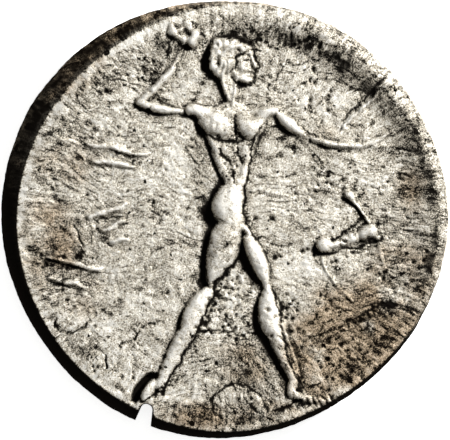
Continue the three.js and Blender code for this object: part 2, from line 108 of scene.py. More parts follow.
# Each bar of relief is a row of stations: right, up, half width, and height in tenths of the relief
TRUNK = {
    "torso": [(1.2, 24.5, 6.8, 4.2), (1.5, 18, 4.8, 3.8), (1.4, 11, 2.9, 3.8), (1.3, 5, 3, 6)],
    "chest_near": [(-6.3, 26.2, 2.2, 5.3), (-3.6, 25, 3.4, 8.5), (-1.4, 24, 2.9, 8)],
    "chest_far": [(4.8, 24.7, 2.8, 8.6), (6.2, 23.9, 3.2, 9.2), (8.2, 25, 2.2, 5.8)],
    "breastbone": [(1.4, 28.1, 1.7, 3.2), (1.7, 25.1, 1.9, 4), (1.9, 21.2, 1.7, 4)],
    "collar": [(-9.4, 29.1, 1.4, 4.8), (-3.9, 28.4, 1.4, 4.4), (4, 28, 1.1, 3.6), (11.6, 28.5, 1.2, 4.4)],
    "shoulder_near": [(-10.5, 28.9, 1.5, 5.7), (-8.5, 28.7, 1.8, 6.1), (-6.3, 27.3, 1.9, 5.3)],
    "shoulder_far": [(8.8, 26.7, 1.7, 5.3), (10.8, 28.1, 1.5, 5.3), (13.2, 28.5, 1.1, 4)],
    "ribs_near": [(-5, 22.3, 1.4, 4), (-2.8, 19.3, 2.2, 4.8), (-0.6, 17.4, 2.3, 4.8)],
    "ribs_far": [(7.2, 21.2, 1.4, 4), (5.2, 18.5, 2.1, 4.9), (4.1, 16.8, 1.4, 4.4)],
    "flank_near": [(-3, 17.9, 1.9, 4), (-1.4, 13.2, 1.7, 4), (0.6, 8.8, 1.4, 4.8)],
    "flank_far": [(6.1, 17.9, 1.4, 4), (4.5, 13, 1.5, 4.8), (3.3, 8, 1.7, 5.7)],
    "belly": [(1.7, 17.9, 1.7, 4), (1.4, 13, 1.9, 4), (1.7, 7.7, 2.2, 6.5)],
    "hip": [(1.1, 6.9, 2.6, 6.5), (0, 4.4, 4.1, 9.3), (-0.3, 1.9, 4.5, 10), (0.6, -0.6, 3.6, 9)],
    "groin": [(2.8, 5.8, 1.7, 5.7), (2.8, 0.8, 1.8, 7), (2.8, -3, 1.9, 6.5)],
    "sex": [(4.7, -3.6, 1.1, 6.5), (5.9, -5, 1.1, 6)],
}
LEGS = {
    "thigh_rear": [(1.4, -1.9, 3, 8), (-0.6, -6.1, 4.3, 10), (-1.7, -10.2, 4.3, 9.7),
                   (-3.6, -14.9, 2.8, 8), (-4.4, -18.5, 1.4, 4.8)],
    "calf_rear": [(-4.5, -20.2, 1.3, 4), (-7.1, -23.2, 2.6, 6.9), (-9.3, -27.2, 3.1, 7.4),
                  (-11.6, -32.2, 2.5, 6.3), (-17.5, -43.6, 1.7, 4.4)],
    "shin_rear": [(-3.9, -21.5, 0.6, 3.2), (-6.1, -27.6, 0.6, 4), (-9.6, -33.6, 0.6, 4),
                  (-13.8, -40.3, 0.6, 3.6)],
    "heel_rear": [(-17.6, -44.1, 1.7, 4.4), (-18.5, -46.6, 1.8, 4.4)],
    "foot_rear": [(-20.4, -46.3, 1.2, 3.6), (-21.8, -48, 1.7, 4.4), (-22.6, -49.6, 1.5, 4)],
    "thigh_front": [(5.5, -6.6, 1.7, 5.7), (6.9, -9.9, 2.5, 7.7), (8.8, -14.1, 2.3, 7.3),
                    (10.2, -17.6, 1.4, 5.3)],
    "knee_front": [(10.5, -18.5, 1.1, 3.6), (10.8, -20.7, 1.2, 4)],
    "calf_front": [(10.8, -21.4, 1.6, 4.8), (11.1, -25.1, 3, 7.3), (11.5, -29.2, 3.2, 7.7),
                   (13.5, -34.3, 2.3, 6.5), (17.6, -43.8, 1.7, 4.8)],
    "shin_front": [(13.2, -22.9, 0.5, 4), (14.6, -28.9, 0.5, 4.8), (16.8, -35.6, 0.5, 4.4),
                   (19.6, -43.8, 0.5, 3.6)],
    "heel_front": [(17.9, -45.2, 1.5, 4), (17.4, -48, 1.4, 3.6)],
    "foot_front": [(17.4, -48.8, 1.4, 3.6), (21.5, -50.2, 1.2, 3.2), (25.9, -50.7, 1, 2.4),
                   (28.9, -50.5, 0.6, 1.6)],
}
ARMS = {
    "arm_near": [(-12.4, 28.4, 0.7, 2.4), (-16, 28.7, 1.2, 4.8), (-19.6, 29.3, 1.35, 5.2),
                 (-24.2, 30.8, 1.1, 4.4)],
    "forearm_near": [(-23.8, 31, 1.1, 4.2), (-19.5, 35.3, 1.15, 4.8), (-15.8, 39.4, 1.1, 4.2),
                     (-14, 42.6, 0.7, 1.6), (-12.4, 46.3, 0.8, 1.4)],
    "arm_far": [(14.1, 27.3, 1, 3.4), (16, 25.6, 1.8, 5.3), (17.9, 24.2, 1.7, 5.7), (20.2, 22.4, 0.8, 2.4)],
    "elbow_far": [(19.9, 22.3, 0.6, 1.6), (21.5, 21.5, 0.6, 1.3), (23.2, 21, 0.7, 2)],
    "forearm_far": [(23.2, 20.7, 0.8, 3.2), (27.6, 19.7, 1, 4.4), (32.3, 19, 0.9, 4),
                    (36.9, 18.9, 0.7, 2.6)],
    "fingers": [(36.9, 19, 0.7, 2.6), (40.3, 20.1, 0.6, 2.2), (44.9, 23.2, 0.5, 1.6)],
    "fingers_low": [(39.2, 18.7, 0.4, 1.6), (48.5, 18.5, 0.3, 0.6)],
}
BRANCH = {
    "hand_near": [(-12.1, 47.7, 1.1, 3), (-9.6, 48, 1.3, 4.8)],
    "grip": [(-8.9, 49.6, 1.5, 4.8), (-9.4, 47.6, 1.7, 6.2)],
    "branch": [(-10.6, 48.6, 1.1, 3.4), (-13, 48.7, 1, 2.6), (-14.8, 49.9, 1.4, 3.4),
               (-15.4, 51.6, 1, 2.4)],
    "twig_low": [(-13.8, 50.6, 0.9, 2.4), (-12.2, 50.9, 0.8, 1.8)],
    "twig_high": [(-9.8, 50.6, 1.2, 2.4), (-11.3, 52.5, 1.3, 2)],
}
HEAD = {
    "neck": [(0.6, 39.4, 2.2, 3.6), (0.4, 35.6, 1.8, 3.6), (1.4, 29.5, 1, 3)],
    "lock_back": [(-1.9, 38.9, 0.8, 4.8), (-1.1, 35.3, 0.8, 4.4), (0, 31.4, 0.6, 3.6)],
    "lock_front": [(2.2, 36.7, 0.7, 4.8), (1.9, 33.4, 0.6, 4.4), (1.1, 30.1, 0.6, 3.6)],
    "hair": [(-1.9, 45.6, 3.2, 6.4), (-0.6, 43.8, 3.8, 7), (0, 41.6, 3, 6.8)],
    "nape": [(-4, 42.6, 1.55, 5.8), (-3.5, 40.4, 1.55, 5.8), (-2, 38.4, 1.4, 5)],
    "fringe": [(-0.6, 47.4, 1.3, 5.6), (2.8, 46.6, 1.4, 5.8), (5.7, 45.6, 0.9, 5)],
    "face": [(3.6, 43.8, 2.3, 4.2), (4.2, 41.4, 2.6, 5), (3.9, 39, 2.3, 4.6)],
    "brow": [(4, 44.6, 0.7, 5.4), (6.2, 44.4, 0.7, 5.4)],
    "nose": [(6.3, 43.7, 0.5, 5), (6.9, 42.3, 0.55, 5.4), (7.4, 41, 0.7, 5.4)],
    "upper_lip": [(5.6, 39.7, 0.5, 5.4), (6.8, 39.8, 0.5, 5)],
    "lower_lip": [(5.5, 38.3, 0.5, 5.4), (6.5, 38.4, 0.5, 5)],
    "chin": [(5, 37, 1.1, 4.8), (6, 37.1, 0.9, 4.4)],
    "jaw": [(5, 36.9, 0.9, 4.7), (3, 37.5, 0.9, 4.8), (1.6, 39, 0.9, 5)],
    "cheek": [(3.4, 41, 1.4, 5.4), (3.9, 40, 1.3, 5.4)],
    "upper_lid": [(4.3, 43.1, 0.4, 5.8), (5.8, 42.9, 0.35, 5.6)],
    "ear": [(1.3, 42.2, 0.6, 7), (1.1, 41, 0.5, 6.6)],
}
# Locks of the hair run from the crown to these places, in the same units
CROWN = (-1.6, 45.6)
LOCK_ENDS = [
    (5.9, 45.8), (4.6, 45), (2.7, 44.5), (1.5, 43.4), (1.2, 41), (0, 39.2), (-1.7, 38),
    (-3.4, 38.6), (-4.7, 40.4), (-4.9, 42.6), (-4.7, 44.7), (-3.7, 46.8), (-1.4, 48), (1.2, 47.9),
    (3.8, 47),
]
LOCK_BEND = 0.8
LOCK_WIDTH = 0.62
LOCK_SHARES = (0.25, 0.62, 1.0)
LOCK_HEIGHTS = (8, 8.4, 5.6)
SMALL_STAG = {
    "chest": [(26.1, -8.3, 2.2, 6.5), (26.5, -8.3, 2.1, 6.5)],
    "trunk": [(27.8, -8, 1.3, 4), (31.4, -7.1, 1.5, 4.1), (34.9, -6, 1.5, 4.2)],
    "haunch": [(37.3, -5.2, 1.9, 5.8), (39, -4.4, 2.05, 6.6)],
    "throat": [(39.2, -2.7, 0.6, 2.6), (37.5, -0.3, 0.5, 2.8), (33.9, 4.4, 0.7, 3.6)],
    "muzzle": [(33.2, 5.6, 1.3, 4.6), (33.9, 4.7, 1, 4.2)],
    "antler": [(32.5, 6.3, 0.4, 1.8), (32.3, 8.5, 0.4, 1.3), (33.6, 10.5, 0.3, 1)],
    "foreleg": [(25.6, -10.8, 0.5, 1.3), (26.5, -14.3, 0.45, 1), (29.5, -18.7, 0.4, 0.8),
                (34.2, -23.4, 0.4, 0.6)],
    "hindleg": [(41.1, -6.3, 0.9, 1.8), (42.2, -11.3, 0.8, 0.9), (43.6, -17.9, 0.6, 0.5)],
}
# Rows of worn strokes: middle, slant in degrees, length, pitch, count, height
STROKE_ROWS = [
    ((-31, 16.2), -10, 16, 4.2, 2, 2.8),
    ((-31.3, -2.8), 20, 10, 4.4, 3, 3.2),
    ((-43, -16), -15, 14.5, 5.6, 2, 2.9),
]
STROKE_WIDTH = 0.95
STROKE_SHARES = (1, 0.65, 0.4)
STROKE_TAPER = 0.2

# The stag of the underside, in hundredths of its length as seen from below
STAG = {
    "trunk": [(-34, 0, 11, 8), (-12, -2, 10.5, 10), (12, 0, 12, 10)],
    "haunch": [(-38, 2, 11, 9), (-33, -10, 8, 8)],
    "shoulder": [(14, 4, 12, 10), (18, -10, 8, 8)],
    "neck": [(18, 8, 9.5, 8), (26, 21, 6.8, 7.5), (31, 32, 5.2, 7)],
    "head": [(30, 35, 5.6, 8), (40, 32, 4.2, 7), (48, 29, 2.9, 6)],
    "ear": [(27, 37, 1.6, 5), (20, 41, 1.2, 4)],
    "tail": [(-44, 9, 2.4, 6), (-50, 2, 1.8, 4)],
    "ground": [(-56, -51, 1.4, 4), (0, -51, 1.4, 4), (56, -51, 1.4, 4)],
    "foreleg_near": [(17, -12, 4.2, 7), (17, -27, 2.6, 6), (15, -42, 2.1, 5), (19, -47, 2.3, 4)],
    "foreleg_far": [(21, -10, 3.6, 6), (28, -25, 2.4, 5), (28, -42, 1.9, 5), (32, -47, 2.2, 4)],
    "hindleg_near": [(-37, -12, 5, 7), (-41, -25, 3, 6), (-43, -33, 2.3, 5), (-39, -47, 2.2, 4)],
    "hindleg_far": [(-31, -12, 4.4, 6), (-29, -24, 2.8, 5), (-32, -33, 2.2, 5), (-26, -47, 2.2, 4)],
}
ANTLER_BEAM = [(0, 0, 1.5, 5), (-2, 14, 1.5, 5), (3, 30, 1.1, 4)]
ANTLER_FEET = [(30, 39), (36, 38)]
ANTLER_TURNS = [12, -14]
BEAM_STEPS = 10
TINE_PLACES = [0.3, 0.55, 0.8]
TINE_LENGTH = 8
TINE_LEAN = 0.7
TINE_FOOT = (1.2, 4)
TINE_TIP = (0.8, 3)

# Tarnish and painted shade every 30 degrees from the right: how bright and how brown the edge is, black at
# the left as painted shade and tarnish, how dark the rim's slope is with painted shade and tarnish, and how
# far in from the face's border, how bright its crest
EDGE_TONE_AND_SHADE = [0.66, 0.66, 0.6, 0.3, 0.1, 0.06, 0.0, 0.0, 0.0, 0.0, 0.0, 0.06]
EDGE_EARTH = [0.3, 0.2, 0.2, 0.5, 0.9, 0.6, 0.2, 0.2, 0.2, 0.3, 0.5, 0.4]
SLOPE_SHADE_AND_TARNISH = [1.7, 1.4, 0.8, 0.4, 0.3, 0.1, 0.05, 0.05, 0.05, 0.1, 0.15, 0.5]
SLOPE_PLACE = [0.5, 0.8, 1.25, 1.3, 1.2, 1.2, 1.2, 1.2, 1.0, 1.0, 0.6, 0.4]
CREST_SHINE = [0.9, 0.6, 0.3, 0.4, 1.3, 1.3, 0.7, 0.3, 0.4, 0.5, 1.0, 0.8]

# Marks of age on the upper face, with a few blots of painted shadow, in millimetres. Pits: place and radius
PITS = [
    (7.45, -2.44, 0.1), (9.38, -1.45, 0.07), (8.77, -1.97, 0.07), (9.23, -1.88, 0.07), (5.16, -1.92, 0.1),
    (4.97, -1.97, 0.07), (3.61, -1.45, 0.11), (3.84, -1.36, 0.07), (2.34, -1.73, 0.12), (2.58, -1.69, 0.07),
    (4.83, 5.77, 0.09), (4.12, 7.08, 0.07), (3.94, 6.56, 0.08), (4.17, 6.42, 0.08), (4.78, 5.11, 0.08),
    (3.19, 3.38, 0.08), (3.23, 3.14, 0.07), (4.31, 2.11, 0.07), (7.55, 1.78, 0.08), (3.28, 1.22, 0.08),
    (2.58, 3, 0.08), (1.41, 0.09, 0.08), (2.2, 0.09, 0.11), (7.12, -0.19, 0.08), (3.56, -5.95, 0.07),
    (4.97, -8.3, 0.08), (5.02, -7.41, 0.07), (4.78, -6.47, 0.08), (6.28, -6.05, 0.08), (-5.53, 6, 0.1),
    (-6.52, 3.8, 0.06), (-1.55, 3.38, 0.07), (-2.77, 2.34, 0.06), (-6.42, 1.17, 0.08), (-3.33, 0.8, 0.08),
    (-2.67, -3.38, 0.08), (-7.36, -3.7, 0.07), (-1.36, -6.09, 0.07), (-0.42, -6.66, 0.08),
    (-4.27, -7.36, 0.06),
    (-6.89, -1.69, 0.1), (1.97, -4.17, 0.08), (2.16, -5.39, 0.09), (3.14, -4.59, 0.1), (0.33, -2.81, 0.07),
    (0.52, -5.53, 0.1), (0.84, -5.39, 0.08), (-0.61, -3.75, 0.1), (-0.94, -4.78, 0.11), (-0.8, -4.5, 0.08),
]
# Cracks and cut lines: half width, depth, then the points that they run through
CRACKS = [
    (0.05, 0.07, [(-7.03, -0.23), (-6.8, -0.7), (-6.66, -1.17), (-6.7, -1.78)]),
    (0.04, 0.05, [(-7.5, -2.81), (-7.69, -3.38)]),
    (0.06, 0.07, [(-7.88, -4.59), (-7.83, -4.97), (-7.55, -5.16), (-7.03, -5.25), (-6.42, -4.78)]),
    (0.035, 0.05, [(-4.92, -5.77), (-4.64, -5.67), (-4.27, -5.53), (-4.08, -5.16)]),
    (0.045, 0.06, [(-3.89, -4.97), (-3.52, -4.83), (-3.19, -4.78)]),
    (0.05, 0.05, [(-5.86, -5.86), (-5.48, -6.33), (-5.39, -6.8)]),
    (0.09, 0.14, [(2.2, -8.91), (2.77, -8.77), (3.19, -8.53), (3.52, -8.44)]),
    (0.04, 0.04, [(9.5, 0.98), (10.2, 1.03)]),
    (0.03, 0.03, [(2.06, -1.03), (2.58, -1.17), (3.14, -1.08)]),
    (0.03, 0.03, [(1.17, 1.31), (1.73, 1.26), (2.58, 1.08)]),
    (0.06, 0.08, [(5.5, 4.6), (6.5, 5.72), (7.4, 6.62)]),
    (0.04, 0.04, [(7.17, 3.33), (8.2, 3.38), (9.0, 3.3)]),
    (0.05, 0.08, [(-3.98, -8.44), (-3.42, -8.2), (-2.81, -7.73)]),
    (0.05, 0.05, [(-0.56, -8.3), (-0.52, -8.8), (-0.1, -9.2)]),
    (0.03, 0.03, [(2.02, 6.19), (2.6, 6.94), (3.05, 7.5)]),
    (0.07, 0.06, [(0.55, -1.8), (0, -2.44), (-0.55, -3.1), (-0.6, -3.75), (-1.45, -5.5), (-2.55, -7.3),
                  (-2.95, -8.2)]),
    (0.05, 0.05, [(2.38, -3.48), (2.58, -4.66), (2.87, -6.05), (3.27, -7.33), (3.66, -7.92)]),
    (0.05, 0.05, [(1.76, 4.36), (1.35, 3.68), (1.22, 2.93), (1.05, 2.09), (0.93, 1.17), (0.97, 0.08),
                  (1.43, -0.84)]),
    (0.07, 0.09, [(0.55, 4.78), (0.5, 4.3), (0.45, 3.84)]),
    (0.06, 0.06, [(-0.85, 3.95), (-0.3, 3.72), (0.17, 3.8), (0.55, 3.7), (1.35, 3.8)]),
    (0.05, 0.05, [(-0.29, 3.34), (-0.2, 3.01), (0.09, 2.67), (0.26, 2.5)]),
    (0.05, 0.05, [(0.6, 3.42), (0.63, 2.92), (0.75, 2.6)]),
    (0.05, 0.04, [(0.34, 2.25), (0.38, 1.75)]),
    (0.055, 0.05, [(5.63, -4.78), (6.23, -4.5), (6.61, -4.27), (7.17, -3.98), (7.83, -3.89),
                   (8.44, -4.03), (9.05, -4.31)]),
    (0.05, 0.05, [(0.85, -8.2), (1.2, -8.6), (1.55, -8.9)]),
    (0.06, 0.05, [(-1.2, -5.25), (-0.6, -5.12), (0, -5.2), (0.7, -5.38)]),
    (0.07, 0.07, [(4.9, -0.95), (5.45, -0.67), (5.93, -0.39), (6.31, -0.12), (6.45, 0.13), (6.21, 0.3),
                  (5.93, 0.71), (5.63, 0.99)]),
    (0.07, 0.08, [(4.35, -1.62), (4.9, -1.5), (5.59, -1.33), (6.28, -1.26), (6.83, -1.05), (7.25, -0.84)]),
    (0.06, 0.06, [(-0.5, -8.9), (-0.5, -8.3), (-0.1, -7.85), (0.45, -7.65), (1.0, -7.8), (1.6, -8.2),
                  (1.95, -8.9)]),
]
# Combs of short cuts: half width, depth, the first cut's ends, and how far each end moves to the next cut
COMBS = [
    (0.05, 0.06, [(5.6, -4.75), (5.8, -5)], [(0.3, 0.13), (0.3, 0.13)]),
    (0.045, 0.04, [(3.5, -8.35), (3.66, -8.8)], [(0.26, 0.04), (0.26, 0.05)]),
]
COMB_CUTS = 6
# Lines cut in the head, in the figure's own units: hairline, eye, brow, mouth, jaw and the face's outline
HEAD_LINES = [
    (0.28, 0.45, [(5.3, 44.8), (4.2, 44.1), (2.6, 43.5), (2.3, 41.6), (1.7, 40.1), (0.6, 39.2)]),
    (0.28, 0.8, [(4.3, 42.5), (5, 42.3), (5.7, 42.5)]),
    (0.26, 0.3, [(4, 43.8), (5, 43.9), (5.8, 43.6)]),
    (0.26, 0.6, [(5.4, 39.05), (6.7, 39.1)]),
    (0.35, 0.8, [(1.2, 37.7), (2.6, 36.1), (4.6, 35.4), (6.2, 35.6)]),
    (0.28, 0.5, [(7.3, 45), (7.3, 43.6), (8.6, 40.9), (7.5, 40.2), (7.7, 39.4), (7.3, 38.9),
                 (7.4, 37.6), (7, 36.1)]),
]
# Thin raised folds of metal: half width, height, then their points in millimetres
FOLDS = [
    (0.06, 0.05, [(-7.9, 3.9), (-6.5, 3.4), (-5.3, 3.1), (-4.3, 2.7)]),
    (0.07, 0.16, [(5.55, 4.3), (6.65, 5.5), (7.65, 6.45)]),
    (0.05, 0.04, [(4.6, -2.0), (5.2, -3.0), (6.1, -3.9)]),
    (0.4, 0.06, [(-0.1, -8.4), (0.4, -8.1), (1.0, -8.25), (1.5, -8.7)]),
    (0.08, 0.04, [(1.5, 4.9), (2.6, 5.3), (3.8, 5.5)]),
    (0.06, 0.04, [(1.3, 1.4), (2.0, 1.35), (2.9, 1.15)]),
    (0.05, 0.04, [(-3.9, -7.3), (-3.0, -6.2), (-2.0, -4.9)]),
    (0.06, 0.05, [(-2.4, -7.4), (-1.6, -6.0), (-0.9, -4.9)]),
]
# The hollow beside the crack, as a bar of relief turned downwards
HOLLOW = [(-4.2, -8.35, 0.16, 0.3), (-4.05, -7.9, 0.2, 0.42), (-3.6, -7.35, 0.17, 0.34),
          (-3.2, -7.2, 0.09, 0.2)]
# Blots on the upper face: place, reach along and across, turn in degrees, strength
PITTED = [
    (0.35, 2.6, 0.45, 0.9, 0, 0.5),
    (0.3, -3.4, 1.6, 1.0, 30, 1.0), (-0.7, -4.4, 0.6, 1.0, -30, 1.0), (0.2, -5.1, 1.2, 0.5, 0, 0.9),
    (3.0, -4.3, 0.6, 1.2, 10, 0.8), (3.4, 8.4, 1.6, 0.6, -8, 0.9), (4.8, 1.8, 0.9, 0.6, 0, 0.7),
    (7.2, 1.7, 1.0, 0.5, 10, 0.6), (5.6, -6.0, 2.2, 1.6, 0, 0.3), (-5.6, -6.8, 1.2, 0.7, -30, 0.5),
    (-3.7, 6.6, 0.9, 0.7, 30, 0.6), (1.0, 8.5, 0.7, 0.7, 0, 0.5), (8.0, -3.2, 1.6, 0.8, -20, 0.4),
    (-8.0, -2.0, 1.2, 0.9, -10, 0.35), (4.2, 6.2, 0.9, 1.0, 0, 0.3), (4.8, -3.9, 0.8, 0.5, -40, 0.5),
    (5.6, -0.9, 0.8, 0.35, 12, 0.9),
]
STAINS_AND_SHADOWS = [
    # The first three blots are painted shadow: the dark crescent at the left of the hip, wider than the key
    # light's own shadow
    (-1.0, 0.45, 0.95, 0.28, 95, 1.7), (-0.85, -0.75, 0.6, 0.18, 85, 1.5),
    (-0.45, 1.35, 0.5, 0.2, 50, 1.2), (0.3, 2.7, 0.45, 1.0, 0, 0.35),
    (-0.1, -1.5, 1.0, 0.7, 70, 0.28), (1.2, -2.2, 0.9, 0.5, -60, 0.25), (-1.4, -5.2, 1.4, 0.6, 60, 0.2),
    (-3.7, 6.65, 0.95, 0.55, 30, 0.8), (-2.7, 8.0, 0.75, 0.45, -35, 0.95), (4.7, 1.8, 0.8, 0.6, 0, 0.3),
    (5.4, 7.7, 0.6, 0.7, 20, 0.7), (5.9, 6.1, 0.6, 1.0, 40, 0.55), (3.4, 8.4, 1.8, 0.5, -10, 0.75),
    (1.1, 8.6, 0.8, 0.6, 0, 0.6), (7.3, 6.3, 1.0, 0.6, 45, 0.2), (-6.9, -1.7, 0.4, 0.2, 0, 0.8),
    (-7.9, -2.0, 1.4, 0.35, -10, 0.55), (-6.6, -2.6, 0.7, 0.5, 0, 0.5), (-6.3, -6.2, 1.4, 0.7, -40, 0.5),
    (7.75, -3.95, 0.36, 0.17, -8, 1.9), (6.5, -4.6, 0.8, 0.2, 15, 0.4), (8.9, -4.5, 0.4, 0.5, 0, 0.25),
    (8.1, -5.9, 0.6, 0.6, 0, 0.15), (6.5, -6.8, 0.8, 0.6, 20, 0.12), (4.6, -3.4, 0.8, 0.5, -35, 0.35),
    (-8.0, 3.9, 0.7, 0.25, 0, 0.4), (-8.2, 2.2, 0.7, 0.3, 0, 0.35),
    (-1.2, -8.9, 1.6, 0.5, -5, 0.4), (3.5, -8.8, 1.6, 0.3, 12, 0.4), (-8.9, -2.1, 0.25, 0.9, 0, 0.5),
    (-5.4, 6.4, 0.9, 0.5, 20, 0.35), (9.9, -1.5, 0.4, 1.8, 0, 0.1), (2.4, -6.7, 0.9, 0.9, 0, 0.3),
    (1.0, -6.7, 1.6, 1.5, 0, 0.6), (-3.0, 4.9, 1.2, 0.5, -10, 0.3), (-4.4, 4.2, 1.4, 0.5, -5, 0.25),
    (3.4, 3.7, 1.7, 0.4, -12, 0.5), (0.4, -9.4, 3.2, 0.4, 0, 0.45),
    (8.6, 0.6, 0.5, 1.6, 0, 0.35), (7.6, 2.9, 0.8, 0.5, 20, 0.3), (-2.9, 5.4, 1.5, 0.25, -8, 0.5),
    (-6.5, 4.6, 1.2, 0.8, 30, 0.2),
]
EARTHY = [
    (6.1, -5.7, 3.6, 2.8, 25, 1.15), (8.3, -2.5, 1.8, 2.5, 0, 0.6), (-8.0, -1.2, 1.6, 2.6, 0, 0.65),
    (-7.6, 2.6, 1.6, 1.6, 0, 0.5), (8.6, 1.4, 0.9, 1.4, 0, 0.5), (-6.5, -3.6, 1.4, 1.2, 0, 0.4),
    (4.6, 4.0, 0.8, 0.5, 0, 0.35), (-6.7, 6.7, 1.6, 0.8, 45, 0.7), (8.5, 3.5, 1.0, 1.0, 0, 0.25),
    (0.5, -9.1, 4.0, 0.8, 0, 0.8), (1.0, -6.8, 1.6, 1.6, 0, 0.5),
]

# How bright the field is, from black 0 to bright 1, and what each mark adds to it, painted shade and shadow
# among them
FIELD_TONE = 0.66
BLOTCH_TONE = 0.1
MARK_TONES = {
    "worn": 0.36,
    "creases": -0.5,
    # tarnish and partly painted shade at the foot of the relief
    "beside": -0.4,
    # painted cast shadow at the lower left of the relief
    "painted_shadow": -0.66,
    # painted shade and tarnish on the rim's inner slope
    "slope": -0.45,
    "rim": -0.1,
    "crest": 0.3,
    # stains, and the painted shadow at the left of the hip
    "stains": -0.5,
    "earth": -0.37,
    "pitted": 0.1,
    "holes": -0.6,
    "cracks": -0.9,
    "hollow": -0.9,
}


def spline(a, b, c, d, t):
    """The smooth curve from b to c, at the share t, that comes from a and goes on to d."""
    return b + 0.5 * t * (c - a + t * (2 * a - 5 * b + 4 * c - d + t * (3 * (b - c) + d - a)))


def around(values, angle):
    """Values given at even steps round the coin, taken smoothly at any angles."""
    values = np.asarray(values, float)
    place = np.mod(angle, TURN) / TURN * len(values)
    first = np.floor(place).astype(int)
    return spline(*(values[(first + k) % len(values)] for k in (-1, 0, 1, 2)), place - first)


def smooth(share):
    share = np.clip(share, 0, 1)
    return share * share * (3 - 2 * share)


def turned(u, v, degrees):
    """A place turned about the origin."""
    c, s = math.cos(math.radians(degrees)), math.sin(math.radians(degrees))
    return u * c - v * s, u * s + v * c


def between(field, columns, rows, u, v):
    """The field between two columns and two rows, at the shares u and v of the way."""
    (i0, i1), (j0, j1) = columns, rows
    low = field[j0, i0] * (1 - u) + field[j0, i1] * u
    high = field[j1, i0] * (1 - u) + field[j1, i1] * u
    return low * (1 - v) + high * v


def coin_radius():
    """Half the nominal diameter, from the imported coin's width along X."""
    low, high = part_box("coin")
    width = (high.x - low.x) / MM
    return (width - OUTLINE_WANDER[0] - OUTLINE_WANDER[6]) / 2


RADIUS = coin_radius()


def outline_radius(angle):
    return RADIUS + around(OUTLINE_WANDER, angle)


def face_radius(angle):
    return outline_radius(angle) - around(UPPER_EDGE_BAND, angle)


def rest_radius(angle):
    return outline_radius(angle) - LOWER_EDGE_BAND


def flan_middle():
    """The middle of the outline's box, which is the frame's origin."""
    angle = np.linspace(0, TURN, OUTLINE_SAMPLES, endpoint=False)
    x = outline_radius(angle) * np.cos(angle)
    y = outline_radius(angle) * np.sin(angle)
    return np.array([(x.min() + x.max()) / 2, (y.min() + y.max()) / 2])


def catmull(stations, steps):
    """Points on the smooth line through the stations, in as many numbers as a station has."""
    p = np.asarray(stations, float)
    p = np.vstack([2 * p[0] - p[1], p, 2 * p[-1] - p[-2]])
    t = np.linspace(0, 1, steps, endpoint=False)[:, None]
    rows = [spline(*four, t) for four in zip(p, p[1:], p[2:], p[3:])]
    return np.vstack([*rows, p[-2:-1]])


class Ripples:
    """Smooth random waves from -1 to 1, the same in each run."""

    CELLS = 128
    FINER = 0.47
    TURNED = (0.8, 0.6)
    MOVED = (3.1, -1.7)

    def __init__(self, seed):
        self.table = np.random.default_rng(seed).uniform(-1, 1, (self.CELLS, self.CELLS))

    def __call__(self, x, y):
        i, j = np.floor(x).astype(int), np.floor(y).astype(int)
        u, v = smooth(x - i), smooth(y - j)
        columns, rows = ((k % self.CELLS, (k + 1) % self.CELLS) for k in (i, j))
        return between(self.table, columns, rows, u, v)

    def rough(self, x, y, size, octaves=3, fade=0.55):
        """Waves of a size in millimetres, with finer ones on them."""
        total, weight = 0, 1
        c, s = self.TURNED
        for _ in range(octaves):
            total = total + weight * self(x / size, y / size)
            size, weight = size * self.FINER, weight * fade
            x, y = x * c - y * s + self.MOVED[0], x * s + y * c + self.MOVED[1]
        return total


class Layer(NamedTuple):
    """A pattern of waves: strength, size in millimetres, octaves, their fade and the pattern's shift."""

    strength: float
    size: float
    octaves: int = 3
    fade: float = 0.55
    shift: tuple = (0, 0)

    def drawn(self, ripples, x, y):
        right, up = self.shift
        return self.strength * ripples.rough(x + right, y + up, self.size, self.octaves, self.fade)


# Bend of the relief, then wear of the upper face, with depths in millimetres
SWAY = Layer(1, 0.55, 3, 0.6)
BROAD_WAVES = Layer(0.03, 2.6)
MIDDLE_WAVES = Layer(0.02, 0.75, 2, shift=(40, 0))
WRINKLE_LINES = Layer(1, 0.42, 2, shift=(9, 0))
WRINKLE_PATCHES = Layer(1, 1.5, 2, shift=(-30, 0))
FLOW_STREAKS = Layer(0.012, 2, 2)
DRAG_LINES = Layer(0.01, 0.16, 2)
FINE_DENTS = Layer(0.014, 0.17, 3, 0.7, (-20, 9))
FIGURE_DENTS = Layer(0.01, 0.45, 2, shift=(3, 0))
EATEN_DENTS = Layer(0.5, 0.24, 2)
# Patterns of its tarnish
BLOTCHES = Layer(1, 1.1, 4, 0.6, (11, -5))
RAGGED_PLACES = Layer(0.5, 0.3, 4, 0.8, (-7, 2))
CLOUDS = Layer(0.08, 2.8, 2, shift=(-13, 17))
# Wear and tarnish of the underside and the edge
UNDER_WAVES = Layer(0.02, 1.8)
UNDER_DENTS = Layer(0.012, 0.35, 2)
UNDER_BLOTCHES = Layer(1, 1.4, 4, 0.6, (3, 8))
EDGE_WAVES = Layer(0.02, 0.9)
EDGE_DENTS = Layer(0.012, 0.2, 2)
EDGE_BLOTCHES = Layer(1, 0.5, 3, 0.7, (5, 0))


